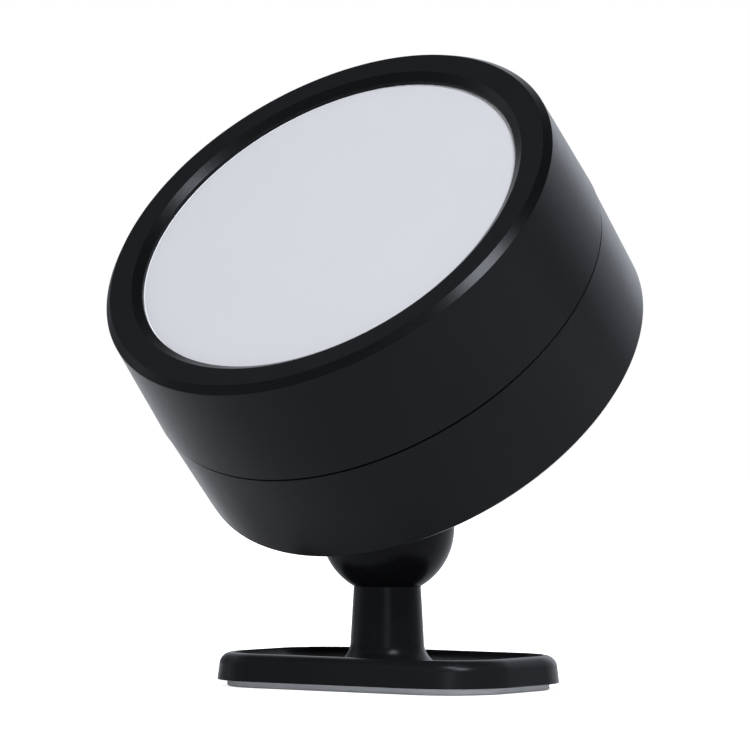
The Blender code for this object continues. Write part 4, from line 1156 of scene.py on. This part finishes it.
def make_board_parts(layout, dark, cream, tin, film, grey_foam):
    """What stands on the main board, and the cell beside it."""
    for name, node, mat, slot, edge in (
            ("charge_chip_body", "charge_chip", dark, "black_part", CHIP_EDGE),
            ("shielded_coil", "inductor", dark, "black_part", COIL_EDGE),
            ("cell_plug", "battery_plug", cream, "plug", PLUG_EDGE),
            ("lamp_plug", "led_plug", cream, "plug", PLUG_EDGE),
            ("pouch_cell", "battery", film, "cell", CELL_EDGE),
            ("cell_foam", "battery_foam", grey_foam, "foam", CELL_FOAM_EDGE)):
        make_block(name, node, mat, slot, edge)
    (low_x, low_v, low), (high_x, high_v, high) = node_box("tact_switch", DRUM)
    body_low = low + PLUNGER_HEIGHT
    switch = raw_object("switch_body", box((low_x, low_v, body_low), (high_x, high_v, high),
                                           EDGE_BREAK), DRUM)
    place = (middle("tact_switch", DRUM, 0), middle("tact_switch", DRUM, 1))
    plunger = rod(PLUNGER_RADIUS, low, (body_low + high) / 2, SCREW_STEPS, place=place)
    carve(switch, "UNION", plunger, DRUM)
    dress(switch, dark, "head", "black_part", "tact_switch")
    centre = drum_beside("charge_chip", middle("charge_chip", DRUM, 0))
    low_v, high_v = span("charge_chip", centre, 1)
    low, high = span("charge_chip", centre, 2)
    shoulder = (high - low) * LEG_SHOULDER_SHARE
    values = {"Count": LEG_COUNT, "Pitch": LEG_PITCH, "Gap": -(high_v - low_v), "Height": low}
    legs = copies(layout, "charge_chip_legs", chip_leg(shoulder), centre, tin, values)
    dress(legs, tin, "head", "steel")


def chip_leg(shoulder):
    """A bent leg of thin strip: out of the chip at the shoulder, down, and out again."""
    half = LEG_WIDTH / 2
    knee = LEG_REACH / 2
    shape = box((-half, -TOUCH, shoulder), (half, knee, shoulder + LEG_THICKNESS))
    shape = box((-half, knee - LEG_THICKNESS, 0), (half, knee, shoulder + TOUCH), into=shape)
    return box((-half, knee - TOUCH, 0), (half, LEG_REACH, LEG_THICKNESS), into=shape)


def make_camera():
    """A long lens just above the ball's height, looking very slightly up, from the right front."""
    side = Vector((cos(CAMERA_AZIMUTH), sin(CAMERA_AZIMUTH), 0))
    ahead = Vector((-sin(CAMERA_AZIMUTH) * cos(CAMERA_ELEVATION),
                    cos(CAMERA_AZIMUTH) * cos(CAMERA_ELEVATION), -sin(CAMERA_ELEVATION)))
    up = side.cross(ahead)
    right = side * cos(CAMERA_ROLL) + up * sin(CAMERA_ROLL)
    up = up * cos(CAMERA_ROLL) - side * sin(CAMERA_ROLL)
    depth = FOCAL_PIXELS / PIXELS_PER_METRE
    centre = PHOTO_SIZE / 2
    ball_right = (BALL_PIXEL[0] - centre) / PIXELS_PER_METRE
    ball_up = (centre - BALL_PIXEL[1]) / PIXELS_PER_METRE
    place = BALL_CENTRE - right * ball_right - up * ball_up - ahead * depth
    data = bpy.data.cameras.new("camera")
    data.sensor_width = SENSOR
    data.lens = FOCAL_PIXELS / PHOTO_SIZE * SENSOR
    data.clip_start = CLIP_START
    camera = bpy.data.objects.new("camera", data)
    bpy.context.scene.collection.objects.link(camera)
    camera.matrix_world = Matrix.Translation(place) @ Matrix((right, up, -ahead)).transposed().to_4x4()
    bpy.context.scene.camera = camera


def soft_box(name, lamp_values):
    """A square area lamp that looks at the middle of the drum. The camera doesn't see it."""
    way, size, power = lamp_values
    target = DRUM @ Vector((0, 0, HEAD_DEPTH / 2))
    data = bpy.data.lights.new(name, "AREA")
    data.shape = "SQUARE"
    data.size = size
    data.energy = power
    data.color = LAMP_TINT
    lamp = bpy.data.objects.new(name, data)
    bpy.context.scene.collection.objects.link(lamp)
    lamp.location = target + way.normalized() * LAMP_DISTANCE
    lamp.rotation_euler = (-way).to_track_quat("-Z", "Y").to_euler()
    lamp.visible_camera = False
    return lamp


def white_rays(graph):
    """Two masks: 1 for rays from the camera, and 1 for rays off gloss or through glass."""
    seen = graph.node("ShaderNodeLightPath", {}, [], "Is Camera Ray")
    gloss = graph.node("ShaderNodeLightPath", {}, [], "Is Glossy Ray")
    glass = graph.node("ShaderNodeLightPath", {}, [], "Is Transmission Ray")
    return seen, gloss.maths("MAXIMUM", glass) * (1 - seen)


def make_world():
    """White to the camera; in gloss, cool white with the shades of a room.

    All other rays get a plain grey fill.
    """
    world = bpy.data.worlds.new("studio")
    bpy.context.scene.world = world
    world.use_nodes = True
    world.node_tree.nodes.clear()
    graph = Graph(world.node_tree)
    way = graph.node("ShaderNodeTexCoord", {}, [], "Generated")
    dim = 0.0
    for toward, start, full, amount in SHADES:
        facing = graph.node("ShaderNodeVectorMath", {"operation": "DOT_PRODUCT"}, [way, toward],
                            "Value")
        shade = graph.node("ShaderNodeMapRange", {"interpolation_type": "SMOOTHSTEP"},
                           [facing, start, full, 0.0, amount])
        dim = shade.maths("MAXIMUM", dim)
    seen, sheen = white_rays(graph)
    level = WORLD_FILL + (seen + sheen) * (1 - WORLD_FILL) - sheen * dim
    tint = graph.node("ShaderNodeCombineColor", {}, [1 + sheen * share for share in SHEEN_TINT],
                      "Color")
    sky = graph.node("ShaderNodeBackground", {}, {"Color": tint, "Strength": level})
    graph.feed(graph.tree.nodes.new("ShaderNodeOutputWorld").inputs["Surface"], sky)


def make_floor():
    """A pale floor that reads as white and keeps only the deepest part of the shadow."""
    bpy.ops.mesh.primitive_plane_add(size=FLOOR_SIZE, location=(0, 0, 0))
    floor = bpy.context.object
    floor.name = "floor"
    finish = Finish("floor_white")
    seen, sheen = white_rays(finish)
    finish.use(Base_Color=(0.8, 0.8, 0.8, 1), Roughness=0.9, Specular_IOR_Level=0.0,
               Emission_Color=(1, 1, 1, 1),
               Emission_Strength=seen * FLOOR_GLOW + sheen * FLOOR_SHEEN)
    floor.data.materials.append(finish.material)


bpy.context.scene.view_settings.view_transform = "Standard"
make_camera()
make_world()
make_floor()
soft_box("key_box", KEY_LAMP)
soft_box("top_box", TOP_LAMP)
soft_box("left_box", LEFT_LAMP).visible_glossy = False
soft_box("back_box", BACK_LAMP)
soft_box("camera_box", CAMERA_LAMP)

black = moulded("satin_black", (0.0078, 0.0080, 0.0085), 0.23, gloss=0.075,
                bevel_tone=BEVEL_TONE, bevel_coat=BEVEL_COAT)
ball_black = moulded("coated_black", (0.0049, 0.0051, 0.0056), 0.23, grain=0.1 * MM, gloss=0.08)
dark = moulded("moulded_black", (0.02, 0.02, 0.021), 0.42)
grey = moulded("moulded_grey", (0.05, 0.05, 0.052), 0.5)
white = moulded("moulded_white", (0.80, 0.80, 0.78), 0.5, spread=0.02)
cream = moulded("cream_nylon", (0.75, 0.70, 0.58), 0.5, spread=0.04)
red = moulded("red_sleeve", (0.50, 0.02, 0.02), 0.45, grain=0.3 * MM)
steel = plated("zinc_plated", (0.55, 0.55, 0.56), 0.28)
nickel = plated("nickel_plated", (0.62, 0.60, 0.57), 0.18)
gold = plated("gold_flash", (0.85, 0.62, 0.28), 0.2)
pad_grey = foam("adhesive_foam", (0.69, 0.69, 0.70, 1), (0.77, 0.77, 0.78, 1), 0.22 * MM)
dark_foam = foam("cell_tape_foam", (0.08, 0.08, 0.08, 1), (0.12, 0.12, 0.12, 1), 0.25 * MM)
green_board = circuit_board("green_board", (0.015, 0.10, 0.05), (0.03, 0.19, 0.09))
white_board = circuit_board("white_board", (0.74, 0.75, 0.74), (0.80, 0.81, 0.80))

ring = ring_layout()
rows = row_layout()
sweep = sweep_layout()

make_front_housing(black)
make_rear_cover(black)
make_diffuser(frosted_disc())
make_seat(black, nickel)
make_ball(ball_black)
make_post(black)
make_plate(sweep, black)
make_pad(sweep, pad_grey)
make_button(black)
make_socket(rows, steel, dark, gold)
make_screws(ring, steel)
make_lamp_chips(ring, white, phosphor())
make_board_parts(rows, dark, cream, steel, crinkled_foil(), dark_foam)
repaint(white, "light_box")
repaint(grey, "chassis")
repaint(white_board, "led_board")
repaint(green_board, "main_board")
repaint(red, "battery_lead_red", "led_lead_red")
repaint(dark, "battery_lead_black", "led_lead_black")
